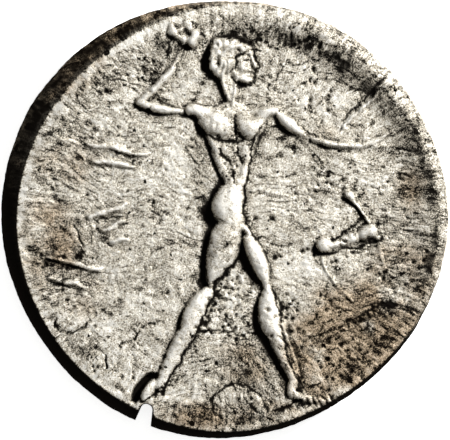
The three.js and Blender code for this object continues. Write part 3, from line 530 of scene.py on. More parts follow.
class Ground:
    """A square grid over the flan on which heights and stains are drawn."""

    REACH = 10.9
    SWAY_SEED = 31
    SWAY_SHIFTS = (0, 50)
    INSIDE = 1.001

    def __init__(self, step):
        self.step = step
        line = np.arange(-self.REACH, self.REACH + step, step)
        self.x, self.y = np.meshgrid(line, line)
        ripples = Ripples(self.SWAY_SEED)
        self.sway = [SWAY.drawn(ripples, self.x + shift, self.y - shift) for shift in self.SWAY_SHIFTS]

    def blank(self, value=0.0):
        return np.full(self.x.shape, float(value))

    def at(self, field, x, y):
        """The field at any points, between the grid's own."""
        u = np.clip((x + self.REACH) / self.step, 0, field.shape[1] - self.INSIDE)
        v = np.clip((y + self.REACH) / self.step, 0, field.shape[0] - self.INSIDE)
        i, j = u.astype(int), v.astype(int)
        return between(field, (i, i + 1), (j, j + 1), u - i, v - j)

    def soften(self, field, radius):
        """The field with everything finer than the radius smoothed away."""
        rows, columns = field.shape
        fy = np.fft.fftfreq(rows, self.step)[:, None]
        fx = np.fft.rfftfreq(columns, self.step)[None, :]
        keep = np.exp(-2 * (math.pi * radius) ** 2 * (fx**2 + fy**2))
        return np.fft.irfft2(np.fft.rfft2(field) * keep, s=field.shape)

    def window(self, low, high, margin):
        """Slices of the grid around a box."""
        cut = []
        for axis in (1, 0):
            first = int((low[axis] - margin + self.REACH) / self.step)
            last = int((high[axis] + margin + self.REACH) / self.step) + 2
            size = self.x.shape[0]
            cut.append(slice(min(max(first, 0), size - 1), min(max(last, 1), size)))
        return tuple(cut)

    def blots(self, rows):
        """Soft patches, strongest where any one is."""
        total = self.blank()
        for x, y, along, across, turn, strength in rows:
            u, v = turned(self.x - x, self.y - y, -turn)
            off = np.hypot(u / along, v / across)
            total = np.maximum(total, strength * np.exp(-(off**3)))
        return total


class Relief:
    """Bars of relief melted together on a ground and bent a little, and how far each place is from them."""

    MELT = 7
    FAR = 5.0
    MARGIN = 0.7
    STEPS = 9
    FLATNESS = 2.6
    STEEPNESS = 0.55
    THINNEST = 0.01
    SHORTEST = 1e-12

    def __init__(self, ground, bend=0):
        self.ground = ground
        self.powers = ground.blank()
        self.away = ground.blank(self.FAR)
        self.x = ground.x + bend * ground.sway[0]
        self.y = ground.y + bend * ground.sway[1]

    def add(self, stations):
        """Melt one bar into the relief."""
        points = catmull(stations, self.STEPS)
        margin = self.MARGIN + points[:, 2].max()
        cut = self.ground.window(points[:, :2].min(0), points[:, :2].max(0), margin)
        x, y = self.x[cut], self.y[cut]
        height = np.zeros_like(x)
        away = np.full_like(x, self.FAR)
        for (ax, ay, aw, ah), (bx, by, bw, bh) in zip(points, points[1:]):
            run = max((bx - ax) ** 2 + (by - ay) ** 2, self.SHORTEST)
            t = np.clip(((x - ax) * (bx - ax) + (y - ay) * (by - ay)) / run, 0, 1)
            distance = np.hypot(x - ax - t * (bx - ax), y - ay - t * (by - ay))
            half_width = np.maximum(aw + t * (bw - aw), self.THINNEST)
            top = np.maximum(ah + t * (bh - ah), 0)
            roundness = np.clip(1 - (distance / half_width) ** self.FLATNESS, 0, None) ** self.STEEPNESS
            height = np.maximum(height, top * roundness)
            away = np.minimum(away, distance - half_width)
        self.powers[cut] += height**self.MELT
        self.away[cut] = np.minimum(self.away[cut], away)

    def height(self):
        return self.powers ** (1 / self.MELT)


def placed(stations, place, size, relief):
    """A bar's stations in millimetres: place right and up, half width, height."""
    unit, tenth = size / 100, relief / 10
    return [(place[0] + u * unit, place[1] + v * unit, w * unit, h * tenth) for u, v, w, h in stations]


def stroke_bars():
    """Rows of worn strokes, as bars in the figure's own units."""
    bars = []
    for (mx, my), slant, length, pitch, count, height in STROKE_ROWS:
        for i in range(count):
            reach = length / 2 * STROKE_SHARES[i]
            down = (i - (count - 1) / 2) * pitch
            bar = []
            for k in (-1, 0, 1):
                x, y = turned(k * reach, -down, slant)
                left = 1 - STROKE_TAPER * abs(k)
                bar.append((mx + x, my + y, STROKE_WIDTH * left, height * left))
            bars.append(bar)
    return bars


def lock_bars():
    """Locks of hair, bent one way, as bars in the figure's own units."""
    bars = []
    for i, end in enumerate(LOCK_ENDS):
        run = np.array(end) - CROWN
        bend = LOCK_BEND if i < len(LOCK_ENDS) / 2 else -LOCK_BEND
        side = np.array([-run[1], run[0]]) / np.hypot(*run) * bend
        places = [CROWN + run * share + side * bent for share, bent in zip(LOCK_SHARES, (0, 1, 0))]
        bars.append([(x, y, LOCK_WIDTH, height) for (x, y), height in zip(places, LOCK_HEIGHTS)])
    return bars


def antler_bars():
    """Both antlers of the stag below, with tines to either side in turn."""
    bars = []
    for (foot_x, foot_y), turn in zip(ANTLER_FEET, ANTLER_TURNS):
        beam = catmull([(u, v) for u, v, _, _ in ANTLER_BEAM], BEAM_STEPS)
        shapes = [ANTLER_BEAM]
        for i, share in enumerate(TINE_PLACES):
            x, y = beam[round(share * (len(beam) - 1))]
            lean, side = TINE_LENGTH * TINE_LEAN, -1 if i % 2 else 1
            shapes.append([(x, y, *TINE_FOOT), (x + side * lean, y + lean, *TINE_TIP)])
        for shape in shapes:
            places = [turned(u, v, turn) for u, v, _, _ in shape]
            sizes = [station[2:] for station in shape]
            bars.append([(foot_x + u, foot_y + v, *size) for (u, v), size in zip(places, sizes)])
    return bars


def comb_cuts():
    """Each cut of the combs, as a crack."""
    cuts = []
    for half_width, depth, ends, moves in COMBS:
        for k in range(COMB_CUTS):
            points = [(x + k * right, y + k * up) for (x, y), (right, up) in zip(ends, moves)]
            cuts.append((half_width, depth, points))
    return cuts


def rim_level(angle, inset):
    """Height of the upper face above its field, the inset in from the face's border."""
    out = RIM_BORDER_SHARE + (1 - RIM_BORDER_SHARE) * smooth(inset / RIM_CREST_INSET)
    inward = 1 - smooth((inset - RIM_CREST_INSET) / RIM_SLOPE_WIDTH)
    return around(RIM_RISE, angle) * np.minimum(out, inward)


class UpperFace:
    """Heights, stains and painted shade of the struck face."""

    STEP = 0.03
    SEED = 7
    # Relief: how far outlines stray, how much the strokes and the branch stand out, and how soft it all is
    STRUCK_BEND = 0.03
    MARKS_BEND = 0.08
    MARKS_GAIN = 1.15
    MARKS_INSET = 0.03
    SOFTNESS = 0.025
    # Wear: the creases' way, stretch, width and depth, where the flow begins and how weak it is at the left
    CREASE_WAY = (0.93, 0.37)
    CREASE_STRETCH = 0.42
    CREASE_WIDTH = 0.22
    CREASE_DEPTH = 0.05
    FLOW_CELLS = 384
    FLOW_DRAWN_OUT = 1.3
    FLOW_START = 5.0
    FLOW_FADE = 3.5
    FLOW_AT_LEFT = 0.35
    LEFTMOST = -3
    LEFT_TO_RIGHT = 8
    DRAG_ALONG = (0.35, -0.1)
    DRAG_ACROSS = (0.18, 1)
    DENTED_FROM = 0.3
    # Damage: how cracks and cut lines stray, the finest line that the grid holds, and depths in millimetres
    LINE_BEND = 0.1
    CUT_BEND = 0.05
    FINEST = 0.055
    HOLE_DEPTH = 0.11
    HOLE_WIDTH = 1.15
    CRACK_DEPTH = 0.8
    PITTED_DEPTH = 0.05
    HOLLOW_SOFTNESS = 0.03
    PIT_SEED = 11
    PITS_IN_PATCH = 34
    FEWEST_PITS = 6
    PIT_SPREAD = 0.55
    PATCH_PIT_SIZES = (0.04, 0.085)
    PATCH_PIT_DEPTHS = (0.4, 1)
    STRAY_PITS = 260
    STRAY_REACH = 9.8
    STRAY_PIT_SIZES = (0.03, 0.06)
    STRAY_PIT_DEPTHS = (0.2, 0.7)
    # Painted cast shadow behind forms that stand between a place and the key light at the upper right
    LEE = (0.82, 0.57)
    LEE_RISE = 0.6
    LEE_RUNS = (0.08, 0.16, 0.25, 0.35, 0.48, 0.62)
    LEE_EDGE = 0.12
    LEE_SOFTNESS = 0.03
    # Tarnish in hollows and shine on heights, by height over or under their surroundings; the dark band
    # beside the relief is tarnish and partly painted shade
    SURROUNDINGS = 0.3
    CREASED_FROM = 0.016
    CREASED_BY = 0.16
    WORN_BY = 0.14
    BESIDE_REACH = 0.07
    BESIDE_UNDER = 0.05
    RIM_DULL_AT = 0.15
    # The rim's slope: width by the distance in, and how its painted shade and tarnish come from rough places
    # and blotches
    SLOPE_WIDTH = (0.2, 0.5)
    SLOPE_DULL = (0.52, 0.15, 0.12)
    CREST_INSET = 0.22
    CREST_WIDTH = 0.16
    CRACK_BLACK_AT = 0.05
    HOLLOW_BLACK_AT = 0.1

    def __init__(self, relief_height, grain):
        ground = self.ground = Ground(self.STEP)
        self.angle = np.arctan2(ground.y, ground.x)
        self.radius = np.hypot(ground.x, ground.y)
        self.inset = face_radius(self.angle) - self.radius
        self.ripples = Ripples(self.SEED)
        self.draw_relief(relief_height)
        self.draw_wear(grain)
        self.draw_damage()
        self.draw_height()
        self.draw_tone_and_shade()

    def layer(self, layer):
        return layer.drawn(self.ripples, self.ground.x, self.ground.y)

    def draw_relief(self, relief_height):
        struck, marks = Relief(self.ground, self.STRUCK_BEND), Relief(self.ground, self.MARKS_BEND)
        bars = [bar for group in (TRUNK, LEGS, ARMS, HEAD, SMALL_STAG) for bar in group.values()]
        for bar in bars + lock_bars():
            struck.add(placed(bar, FIGURE_HIP, FIGURE_HEIGHT, relief_height))
        for bar in stroke_bars() + list(BRANCH.values()):
            marks.add(placed(bar, FIGURE_HIP, FIGURE_HEIGHT, relief_height))
        figure = np.maximum(struck.height(), marks.height() * self.MARKS_GAIN)
        self.figure = self.ground.soften(figure, self.SOFTNESS)
        self.away = np.minimum(struck.away, marks.away + self.MARKS_INSET)
        self.rim = rim_level(self.angle, self.inset)

    def creases(self):
        """Long thin creases of the field, in patches and drawn out one way."""
        x, y, (c, s) = self.ground.x, self.ground.y, self.CREASE_WAY
        along, across = x * c + y * s, y * c - x * s
        off_line = np.abs(WRINKLE_LINES.drawn(self.ripples, along * self.CREASE_STRETCH, across))
        patches = smooth(0.5 + self.layer(WRINKLE_PATCHES))
        return self.CREASE_DEPTH * np.clip(1 - off_line / self.CREASE_WIDTH, 0, 1) * patches

    def flow(self):
        """Streaks that run outwards near the rim, strongest at the right."""
        round_coin = self.angle / TURN * self.FLOW_CELLS * FLOW_STREAKS.size
        streaks = FLOW_STREAKS.drawn(self.ripples, round_coin, self.radius / self.FLOW_DRAWN_OUT)
        rightward = smooth((self.ground.x - self.LEFTMOST) / self.LEFT_TO_RIGHT)
        strength = self.FLOW_AT_LEFT + (1 - self.FLOW_AT_LEFT) * rightward
        return smooth((self.radius - self.FLOW_START) / self.FLOW_FADE) * strength * streaks

    def draw_wear(self, grain):
        """Flow lines, dents and grain that the strike, wear and burial left."""
        ground, ways = self.ground, (self.DRAG_ALONG, self.DRAG_ACROSS)
        along, across = (ground.x * a + ground.y * b for a, b in ways)
        drag = DRAG_LINES.drawn(self.ripples, along, across)
        on_figure = np.clip(self.figure / self.DENTED_FROM, 0, 1)
        self.wear = self.layer(BROAD_WAVES) + self.layer(MIDDLE_WAVES) - self.creases()
        self.wear += on_figure * self.layer(FIGURE_DENTS) + self.flow() + drag
        self.wear += grain * self.layer(FINE_DENTS)

    def lines(self, rows):
        """Depth of thin lines, such as cracks and folds."""
        line = Relief(self.ground, self.LINE_BEND)
        for half_width, depth, points in rows:
            line.add([(x, y, max(half_width, self.FINEST), depth) for x, y in points])
        return line.height()

    def head_lines(self):
        """Depth of the lines cut in the head."""
        cuts = Relief(self.ground, self.CUT_BEND)
        for half_width, depth, points in HEAD_LINES:
            stations = [(u, v, half_width, depth) for u, v in points]
            cuts.add(placed(stations, FIGURE_HIP, FIGURE_HEIGHT, FIGURE_RELIEF))
        return cuts.height()

    def pits(self):
        """Place, radius and depth of each pit: those of PITS, those of the pitted patches and strays."""
        scatter = np.random.default_rng(self.PIT_SEED)
        pits = [(x, y, radius, 1.0) for x, y, radius in PITS]
        for x, y, along, across, turn, strength in PITTED:
            for _ in range(int(self.PITS_IN_PATCH * along * across * strength) + self.FEWEST_PITS):
                u, v = turned(*(scatter.normal(0, self.PIT_SPREAD, 2) * (along, across)), turn)
                radius = scatter.uniform(*self.PATCH_PIT_SIZES)
                pits.append((x + u, y + v, radius, scatter.uniform(*self.PATCH_PIT_DEPTHS)))
        for _ in range(self.STRAY_PITS):
            x, y = scatter.uniform(-self.STRAY_REACH, self.STRAY_REACH, 2)
            radius = scatter.uniform(*self.STRAY_PIT_SIZES)
            pits.append((x, y, radius, scatter.uniform(*self.STRAY_PIT_DEPTHS)))
        return pits

    def draw_damage(self):
        ground = self.ground
        self.pitted = ground.blots(PITTED)
        self.holes = ground.blank()
        for x, y, radius, depth in self.pits():
            cut = ground.window((x - radius, y - radius), (x + radius, y + radius), radius)
            off = np.hypot(ground.x[cut] - x, ground.y[cut] - y) / radius / self.HOLE_WIDTH
            self.holes[cut] = np.maximum(self.holes[cut], depth * np.exp(-(off**3)))
        self.cracks = np.maximum(self.lines(CRACKS + comb_cuts()), self.head_lines())
        self.folds = self.lines(FOLDS)
        hollow = Relief(ground)
        hollow.add(HOLLOW)
        self.hollow = ground.soften(hollow.height(), self.HOLLOW_SOFTNESS)

    def draw_height(self):
        """Height of the whole face over its field."""
        self.height = self.rim + self.figure + self.wear + self.folds - self.hollow
        self.height -= self.HOLE_DEPTH * self.holes + self.CRACK_DEPTH * self.cracks
        self.height -= self.PITTED_DEPTH * self.pitted * (0.5 + self.layer(EATEN_DENTS))

    def painted_shadow(self):
        """Painted cast shadow: how far each place lies behind a form that stands between it and the key
        light at the upper right.
        """
        hidden = self.ground.blank()
        x, y = self.ground.x, self.ground.y
        for run in self.LEE_RUNS:
            over = self.ground.at(self.figure, x + run * self.LEE[0], y + run * self.LEE[1]) - self.figure
            hidden = np.maximum(hidden, smooth((over - self.LEE_RISE * run) / self.LEE_EDGE))
        return self.ground.soften(hidden, self.LEE_SOFTNESS)

    def draw_tone_and_shade(self):
        """Tone from black to bright, and brown toning, from the relief, the marks of age and painted shade
        and shadow.
        """
        blotch = self.layer(BLOTCHES)
        ragged = 0.5 + self.layer(RAGGED_PLACES)
        raised = self.height - self.ground.soften(self.height, self.SURROUNDINGS)
        # The dark band beside the relief: tarnish, and partly painted shade
        beside = np.exp(-np.clip(self.away, 0, None) / self.BESIDE_REACH) * (self.away > -self.BESIDE_UNDER)
        # Painted shade and tarnish on the rim's inner slope, darkest at the upper right, where the slope
        # faces away from the key light
        middle = around(SLOPE_PLACE, self.angle)
        least, share = self.SLOPE_WIDTH
        slope = np.exp(-(((self.inset - middle) / (least + share * middle)) ** 2))
        even, by_ragged, by_blotch = self.SLOPE_DULL
        dull = np.clip(even + by_ragged * ragged + by_blotch * blotch, 0, 1)
        slope *= around(SLOPE_SHADE_AND_TARNISH, self.angle) * dull
        crest = np.exp(-(((self.inset - self.CREST_INSET) / self.CREST_WIDTH) ** 2))
        self.earth = np.clip(self.ground.blots(EARTHY) * (0.9 + 0.5 * blotch), 0, 1)
        marks = {
            "worn": np.clip(raised / self.WORN_BY, 0, 1),
            "creases": np.clip((-raised - self.CREASED_FROM) / self.CREASED_BY, 0, 1),
            "beside": beside * np.clip(ragged, 0, 1),
            # painted cast shadow at the lower left of the relief, away from the key light
            "painted_shadow": self.painted_shadow(),
            "slope": slope,
            "rim": smooth(self.rim / self.RIM_DULL_AT),
            "crest": crest * around(CREST_SHINE, self.angle),
            # stains, and the painted shadow at the left of the hip
            "stains": self.ground.blots(STAINS_AND_SHADOWS) * np.clip(0.5 + 0.5 * ragged, 0, 1.2),
            "earth": self.earth,
            "pitted": self.pitted,
            "holes": self.holes,
            "cracks": np.clip(self.cracks / self.CRACK_BLACK_AT, 0, 1),
            "hollow": np.clip(self.hollow / self.HOLLOW_BLACK_AT, 0, 1),
        }
        tone = FIELD_TONE + BLOTCH_TONE * blotch + self.layer(CLOUDS)
        for name, weight in MARK_TONES.items():
            tone += weight * marks[name]
        self.tone = np.clip(tone, 0, 1)


class UnderFace:
    """Heights and stains of the plainer face that the coin rests on."""

    STEP = 0.06
    SOFTNESS = 0.12
    WEAR_FROM = 0.1
    SURROUNDINGS = 0.4
    TONE = 0.55
    BLOTCH_TONE = 0.12
    RAISED_TONE = 2.2
    RECESS_TONE = -0.2
    SEED = 23
    EARTH = 0.3
    BLOTCH_EARTH = 0.35

    def __init__(self):
        ground = self.ground = Ground(self.STEP)
        x, y = ground.x, ground.y
        ripples = Ripples(self.SEED)
        inset = rest_radius(np.arctan2(y, x)) - np.hypot(x, y)
        stag = Relief(ground)
        for bar in list(STAG.values()) + antler_bars():
            rows = placed(bar, STAG_PLACE, STAG_LENGTH, STAG_RELIEF)
            stag.add([(-px, py, w, h) for px, py, w, h in rows])
        relief = ground.soften(stag.height(), self.SOFTNESS)
        sunk = RECESS_DEPTH * smooth((inset - UNDER_RIM_WIDTH) / UNDER_SLOPE_WIDTH)
        worn = UNDER_WAVES.drawn(ripples, x, y) + UNDER_DENTS.drawn(ripples, x, y)
        self.height = np.clip(sunk - relief + worn * np.clip(sunk / self.WEAR_FROM, 0, 1), 0, None)
        raised = ground.soften(self.height, self.SURROUNDINGS) - self.height
        blotch = UNDER_BLOTCHES.drawn(ripples, x, y)
        recess = sunk > RECESS_DEPTH * 2 / 3
        tone = self.TONE + self.BLOTCH_TONE * blotch + self.RAISED_TONE * raised + self.RECESS_TONE * recess
        self.tone = np.clip(tone, 0, 1)
        self.earth = np.clip(self.EARTH + self.BLOTCH_EARTH * blotch, 0, 1)
        self.pitted = np.clip(blotch, 0, 1)


class Border:
    """Lines round the coin with the open crack in them: widest, face and rest, by share of the way round."""

    START = NOTCH_DIRECTION - math.pi
    FINE = 4000
    WALL_STEPS = 60
    LIP_FADE = 0.2

    def __init__(self):
        self.origin = outline_radius(NOTCH_DIRECTION) * self.way(NOTCH_DIRECTION)
        self.inward = self.way(NOTCH_DIRECTION + math.pi + NOTCH_LEAN)
        self.across = self.way(NOTCH_DIRECTION + math.pi / 2 + NOTCH_LEAN)
        self.widest = self.line(outline_radius, 0)
        self.face = self.line(face_radius, NOTCH_LIP)
        self.rest = self.line(rest_radius, NOTCH_LIP)
        steps = np.hypot(*np.diff(self.widest, axis=0).T)
        self.share = np.concatenate([[0], np.cumsum(steps)]) / steps.sum()

    def mouth(self, side):
        """Angle at which one wall of the crack meets the outline."""
        x, y = self.origin + self.across * side * NOTCH_MOUTH_WIDTH / 2
        return math.atan2(y, x) % TURN

    def bottom(self, lip):
        """The round end of the crack, wider by the lip."""
        half = NOTCH_WIDTH / 2
        centre = self.origin + self.inward * (NOTCH_DEPTH - half)
        turn = np.linspace(math.pi, 0, self.WALL_STEPS)[:, None]
        return centre + (half + lip) * (np.cos(turn) * self.across + np.sin(turn) * self.inward)

    def line(self, radius, lip):
        """One line round the coin and along the crack's walls, which the lip widens."""
        first, second = self.mouth(-1), self.mouth(1)
        before = np.linspace(self.START, first, self.FINE)
        after = np.linspace(second, self.START + TURN, self.FINE)
        shift = lip / RADIUS
        before = before - shift * smooth((before - first + self.LIP_FADE) / self.LIP_FADE)
        after = after + shift * smooth((second + self.LIP_FADE - after) / self.LIP_FADE)
        arc_in, arc_out = (radius(angle)[:, None] * self.way(angle) for angle in (before, after))
        end = self.bottom(lip)
        t = np.linspace(0, 1, self.WALL_STEPS)[:, None]
        wall_in = arc_in[-1] + t * (end[0] - arc_in[-1])
        wall_out = end[-1] + t * (arc_out[0] - end[-1])
        return np.vstack([arc_in, wall_in[1:-1], end, wall_out[1:-1], arc_out])

    @staticmethod
    def way(angle):
        return np.stack([np.cos(angle), np.sin(angle)], -1)

    def sample(self, line, share):
        return np.stack([np.interp(share, self.share, line[:, k]) for k in (0, 1)], -1)


class Shell:
    """Vertices, faces and values of a mesh that is built up ring by ring."""

    def __init__(self):
        self.points, self.faces = [], []
        self.values = {"tone": [], "earth": [], "pitted": []}
        self.count = 0

    def add(self, points, tone, earth, pitted):
        first = self.count
        self.points.append(np.asarray(points, float))
        for rows, value in zip(self.values.values(), (tone, earth, pitted)):
            rows.append(np.broadcast_to(value, len(points)))
        self.count += len(points)
        return first + np.arange(len(points))

    def bridge(self, inner, outer):
        """Faces between two closed rings, of any counts, with the outer one further round the edge."""
        if len(inner) == len(outer):
            following = np.roll(inner, -1), np.roll(outer, -1)
            self.faces += np.stack([inner, outer, following[1], following[0]], -1).tolist()
            return
        i = j = 0
        while i < len(inner) or j < len(outer):
            a, b = inner[i % len(inner)], outer[j % len(outer)]
            if j == len(outer) or (i < len(inner) and (i + 1) / len(inner) < (j + 1) / len(outer)):
                i += 1
                self.faces.append([int(a), int(b), int(inner[i % len(inner)])])
            else:
                j += 1
                self.faces.append([int(a), int(b), int(outer[j % len(outer)])])

    def mesh(self, name, offset):
        """The mesh in metres, with its middle moved by the offset to the origin."""
        points = np.vstack(self.points)
        points[:, :2] -= offset
        mesh = bpy.data.meshes.new(name)
        mesh.from_pydata((points * MM).tolist(), [], self.faces)
        for attribute, rows in self.values.items():
            layer = mesh.attributes.new(attribute, "FLOAT", "POINT")
            layer.data.foreach_set("value", np.concatenate(rows).astype(np.float32))
        mesh.polygons.foreach_set("use_smooth", np.ones(len(mesh.polygons), bool))
        mesh.update()
        return mesh


def disc_lattice(quads):
    """Shares of the way out and round for a disc of quads by quads, its quads and its border in order."""
    line = np.linspace(-1, 1, quads + 1)
    a, b = np.meshgrid(line, line)
    wide = np.abs(a) > np.abs(b)
    safe_a, safe_b = np.where(a == 0, 1, a), np.where(b == 0, 1, b)
    reach = np.where(wide, a, b)
    turn = np.where(wide, math.pi / 4 * b / safe_a, math.pi / 2 - math.pi / 4 * a / safe_b)
    x, y = reach * np.cos(turn), reach * np.sin(turn)
    share = np.mod(np.arctan2(y, x), TURN) / TURN
    index = np.arange((quads + 1) ** 2).reshape(quads + 1, quads + 1)
    faces = np.stack([index[:-1, :-1], index[:-1, 1:], index[1:, 1:], index[1:, :-1]], -1).reshape(-1, 4)
    edge = np.concatenate([index[0, :-1], index[:-1, -1], index[-1, :0:-1], index[:0:-1, 0]])
    edge = edge[np.argsort(share.ravel()[edge])]
    return np.hypot(x, y).ravel(), share.ravel(), faces, edge


class CoinShell:
    """The whole closed surface: upper face, rounded edge with the crack, and underside."""

    INNER_SHARE = 0.8
    EDGE_STEPS = 5
    LOWER_STEPS = 4
    UNDER_INSET = 0.14
    BORDER_TONE = 1.3
    SLANT = 0.7
    DENTS_SUNK = 0.02
    BLOTCH_SHARE = 1.5
    BLOTCH_MOST = 0.2
    EDGE_PITTED = 0.3
    SEED = 41

    def __init__(self, face_quads, under_quads, upper, under):
        self.border = Border()
        self.shell = Shell()
        self.upper, self.under = upper, under
        self.ripples = Ripples(self.SEED)
        ring = self.face(face_quads, self.border.face, upper, 1)
        ring = self.edge(ring, 4 * face_quads)
        inner = self.face(under_quads, self.inset_rest(), under, -1)
        self.shell.bridge(ring, inner)

    def inset_rest(self):
        rest = self.border.rest
        return rest * (1 - self.UNDER_INSET / np.hypot(*rest.T))[:, None]

    def face(self, quads, line, side, up):
        """One face of the coin, upper where up is 1, and its border ring."""
        reach, share, faces, edge = disc_lattice(quads)
        radius = face_radius if up == 1 else lambda angle: rest_radius(angle) - self.UNDER_INSET
        angle = Border.START + share * TURN
        circle = (np.minimum(reach, self.INNER_SHARE) * radius(angle))[:, None] * Border.way(angle)
        blend = np.clip((reach - self.INNER_SHARE) / (1 - self.INNER_SHARE), 0, 1)[:, None]
        xy = circle * (1 - blend) + blend * self.border.sample(line, share)
        level = side.ground.at(side.height, *xy.T) + (FIELD_LEVEL if up == 1 else 0)
        values = [side.ground.at(field, *xy.T) for field in (side.tone, side.earth, side.pitted)]
        # The face's border takes the edge's tone, black at the left as painted shade and tarnish
        values[0][edge] = np.minimum(values[0][edge], self.BORDER_TONE * around(EDGE_TONE_AND_SHADE, angle[edge]))
        ids = self.shell.add(np.column_stack([xy, level]), *values)
        self.shell.faces += (ids[faces] if up == 1 else ids[faces[:, ::-1]]).tolist()
        return ids[edge]

    def edge(self, ring, count):
        """Rings down the rounded edge, from the upper face's border to the line that the coin rests on."""
        share = np.arange(count) / count
        lines = self.border.widest, self.border.face, self.border.rest
        widest, face, rest = (self.border.sample(line, share) for line in lines)
        face_level = FIELD_LEVEL + self.upper.ground.at(self.upper.height, *face.T)
        start = EDGE_BREAK_ANGLE
        for i in range(1, self.EDGE_STEPS + self.LOWER_STEPS + 1):
            lower = i > self.EDGE_STEPS
            back = (i - self.EDGE_STEPS) / self.LOWER_STEPS if lower else 1 - i / self.EDGE_STEPS
            angle = math.pi / 2 - (math.pi / 2 - start) * back
            out = (math.sin(angle) - math.sin(start)) / (1 - math.sin(start))
            level = math.cos(angle) / math.cos(start)
            near = rest if lower else face
            far_level = 0 if lower else face_level
            xy = near + (widest - near) * out
            z = WIDEST_LEVEL + level * (far_level - WIDEST_LEVEL)
            ring = self.ring(ring, xy, z, i == self.EDGE_STEPS + self.LOWER_STEPS)
        return ring

    def ring(self, ring, xy, z, flat):
        """The next ring down the edge, dented unless it is flat."""
        x, y = xy.T
        z = np.broadcast_to(z, x.shape)
        angle = np.arctan2(y, x)
        u, v = x + self.SLANT * z, y - self.SLANT * z
        if not flat:
            dents = EDGE_WAVES.drawn(self.ripples, u, v) + EDGE_DENTS.drawn(self.ripples, u, v)
            xy = xy * (1 + (dents - self.DENTS_SUNK) / np.hypot(x, y))[:, None]
        blotch = EDGE_BLOTCHES.drawn(self.ripples, u, v)
        # The edge is bright at the right and black at the left: painted shade, with tarnish
        tone = around(EDGE_TONE_AND_SHADE, angle)
        tone = np.clip(tone + np.minimum(self.BLOTCH_SHARE * tone, self.BLOTCH_MOST) * blotch, 0, 1)
        earth = np.clip(around(EDGE_EARTH, angle) + self.BLOTCH_MOST * blotch, 0, 1)
        ids = self.shell.add(np.column_stack([xy, z]), tone, earth, self.EDGE_PITTED)
        self.shell.bridge(ring, ids)
        return ids


class Wire:
    """A number or colour that runs through a shader, for use in Python arithmetic."""

    def __init__(self, paint, socket):
        self.paint, self.socket = paint, socket

    def _math(self, operation, *others):
        values = dict(enumerate((self, *others)))
        return self.paint.node("ShaderNodeMath", {"operation": operation}, values)

    def __add__(self, other):
        return self._math("ADD", other)

    def __sub__(self, other):
        return self._math("SUBTRACT", other)

    def __rsub__(self, other):
        return self.paint.node("ShaderNodeMath", {"operation": "SUBTRACT"}, {0: other, 1: self})

    def __mul__(self, other):
        return self._math("MULTIPLY", other)

    def __pow__(self, other):
        return self._math("POWER", other)

    __radd__ = __add__
    __rmul__ = __mul__

    def vector(self, operation, settings=None, output="Vector"):
        """Vector arithmetic on this value, with the other sockets' values given."""
        sockets = {0: self, **(settings or {})}
        return self.paint.node("ShaderNodeVectorMath", {"operation": operation}, sockets, output=output)

    def clamped(self, low=0.0, high=1.0):
        return self.paint.node("ShaderNodeClamp", {}, {"Value": self, "Min": low, "Max": high})

    def ramp(self, low, high, start=0.0, end=1.0):
        """This value from low to high, as start to end, smoothly and no further."""
        settings = {"interpolation_type": "SMOOTHSTEP"}
        sockets = {"Value": self, "From Min": low, "From Max": high, "To Min": start, "To Max": end}
        return self.paint.node("ShaderNodeMapRange", settings, sockets)


class Paint:
    """A material whose nodes are made one call at a time."""

    def __init__(self, name):
        self.material = bpy.data.materials.new(name)
        self.material.use_nodes = True
        self.tree = self.material.node_tree
        self.tree.nodes.clear()

    def node(self, kind, settings=None, sockets=None, output=0):
        made = self.tree.nodes.new(kind)
        for name, value in (settings or {}).items():
            if name == "stops":
                self.set_stops(made.color_ramp, value)
            else:
                setattr(made, name, value)
        for name, value in (sockets or {}).items():
            if isinstance(value, Wire):
                self.tree.links.new(value.socket, made.inputs[name])
            else:
                made.inputs[name].default_value = value
        return Wire(self, made.outputs[output]) if made.outputs else None

    @staticmethod
    def set_stops(ramp, stops):
        while len(ramp.elements) > 1:
            ramp.elements.remove(ramp.elements[-1])
        for i, (place, colour) in enumerate(stops):
            stop = ramp.elements[0] if i == 0 else ramp.elements.new(place)
            stop.position, stop.color = place, (*colour, 1)

    def attribute(self, name):
        return self.node("ShaderNodeAttribute", {"attribute_name": name}, output="Fac")

    def noise(self, vector, scale, detail, roughness=0.6):
        sockets = {"Vector": vector, "Scale": scale, "Detail": detail, "Roughness": roughness}
        return self.node("ShaderNodeTexNoise", {}, sockets)

    def mixed(self, factor, first, second, blend="MIX"):
        settings = {"data_type": "RGBA", "blend_type": blend}
        sockets = {0: factor, 6: first, 7: second}
        return self.node("ShaderNodeMix", settings, sockets, output=2)

    def finish(self, shader):
        self.node("ShaderNodeOutputMaterial", {}, {"Surface": shader})
        return self.material


# Noises of the silver: scale in cells to the metre, detail, roughness
GRAIN = (13000, 2, 0.8)
FLECKS = (30000, 1, 0.6)
SPOTS = (4200, 2, 0.6)
CLOUDING = (1300, 5, 0.75)
WAVES = (700, 3, 0.5)
DASHES = (1900, 2, 0.5)
FLOW = (1, 3, 0.7)
# Noises that bend a place: scale, detail, and how far they move it
RAGGED_BEND = (6000, 2, 0.25 * MM)
SWEEP_BEND = (240, 1, 4 * MM)
# Rows of the matrix that draws the wrinkles out one way
SKEW = {"X": (0.95, -0.3, 0), "Y": (0.7, 2.1, 0), "Z": (0, 0, 1)}
# Finest flow lines: how many pass round the coin, and how fast they change outwards
STREAKS_ROUND = 52
STREAK_RATE = 900
# Pits: cells to the metre, and the widest one's reach in its cell
RARE_PITS = (1500, 0.3)
FINE_PITS = (4200, 0.5)
EATEN_PITS = (2700, 1.7)
WRINKLE_NARROWNESS = 420
# Tones at which the silver has each colour, and how far the two between dark and dull are on the way
TONE_STOPS = (0.02, 0.2, 0.42, 0.62, 0.9)
DARK_SHARES = (0.16, 0.62)


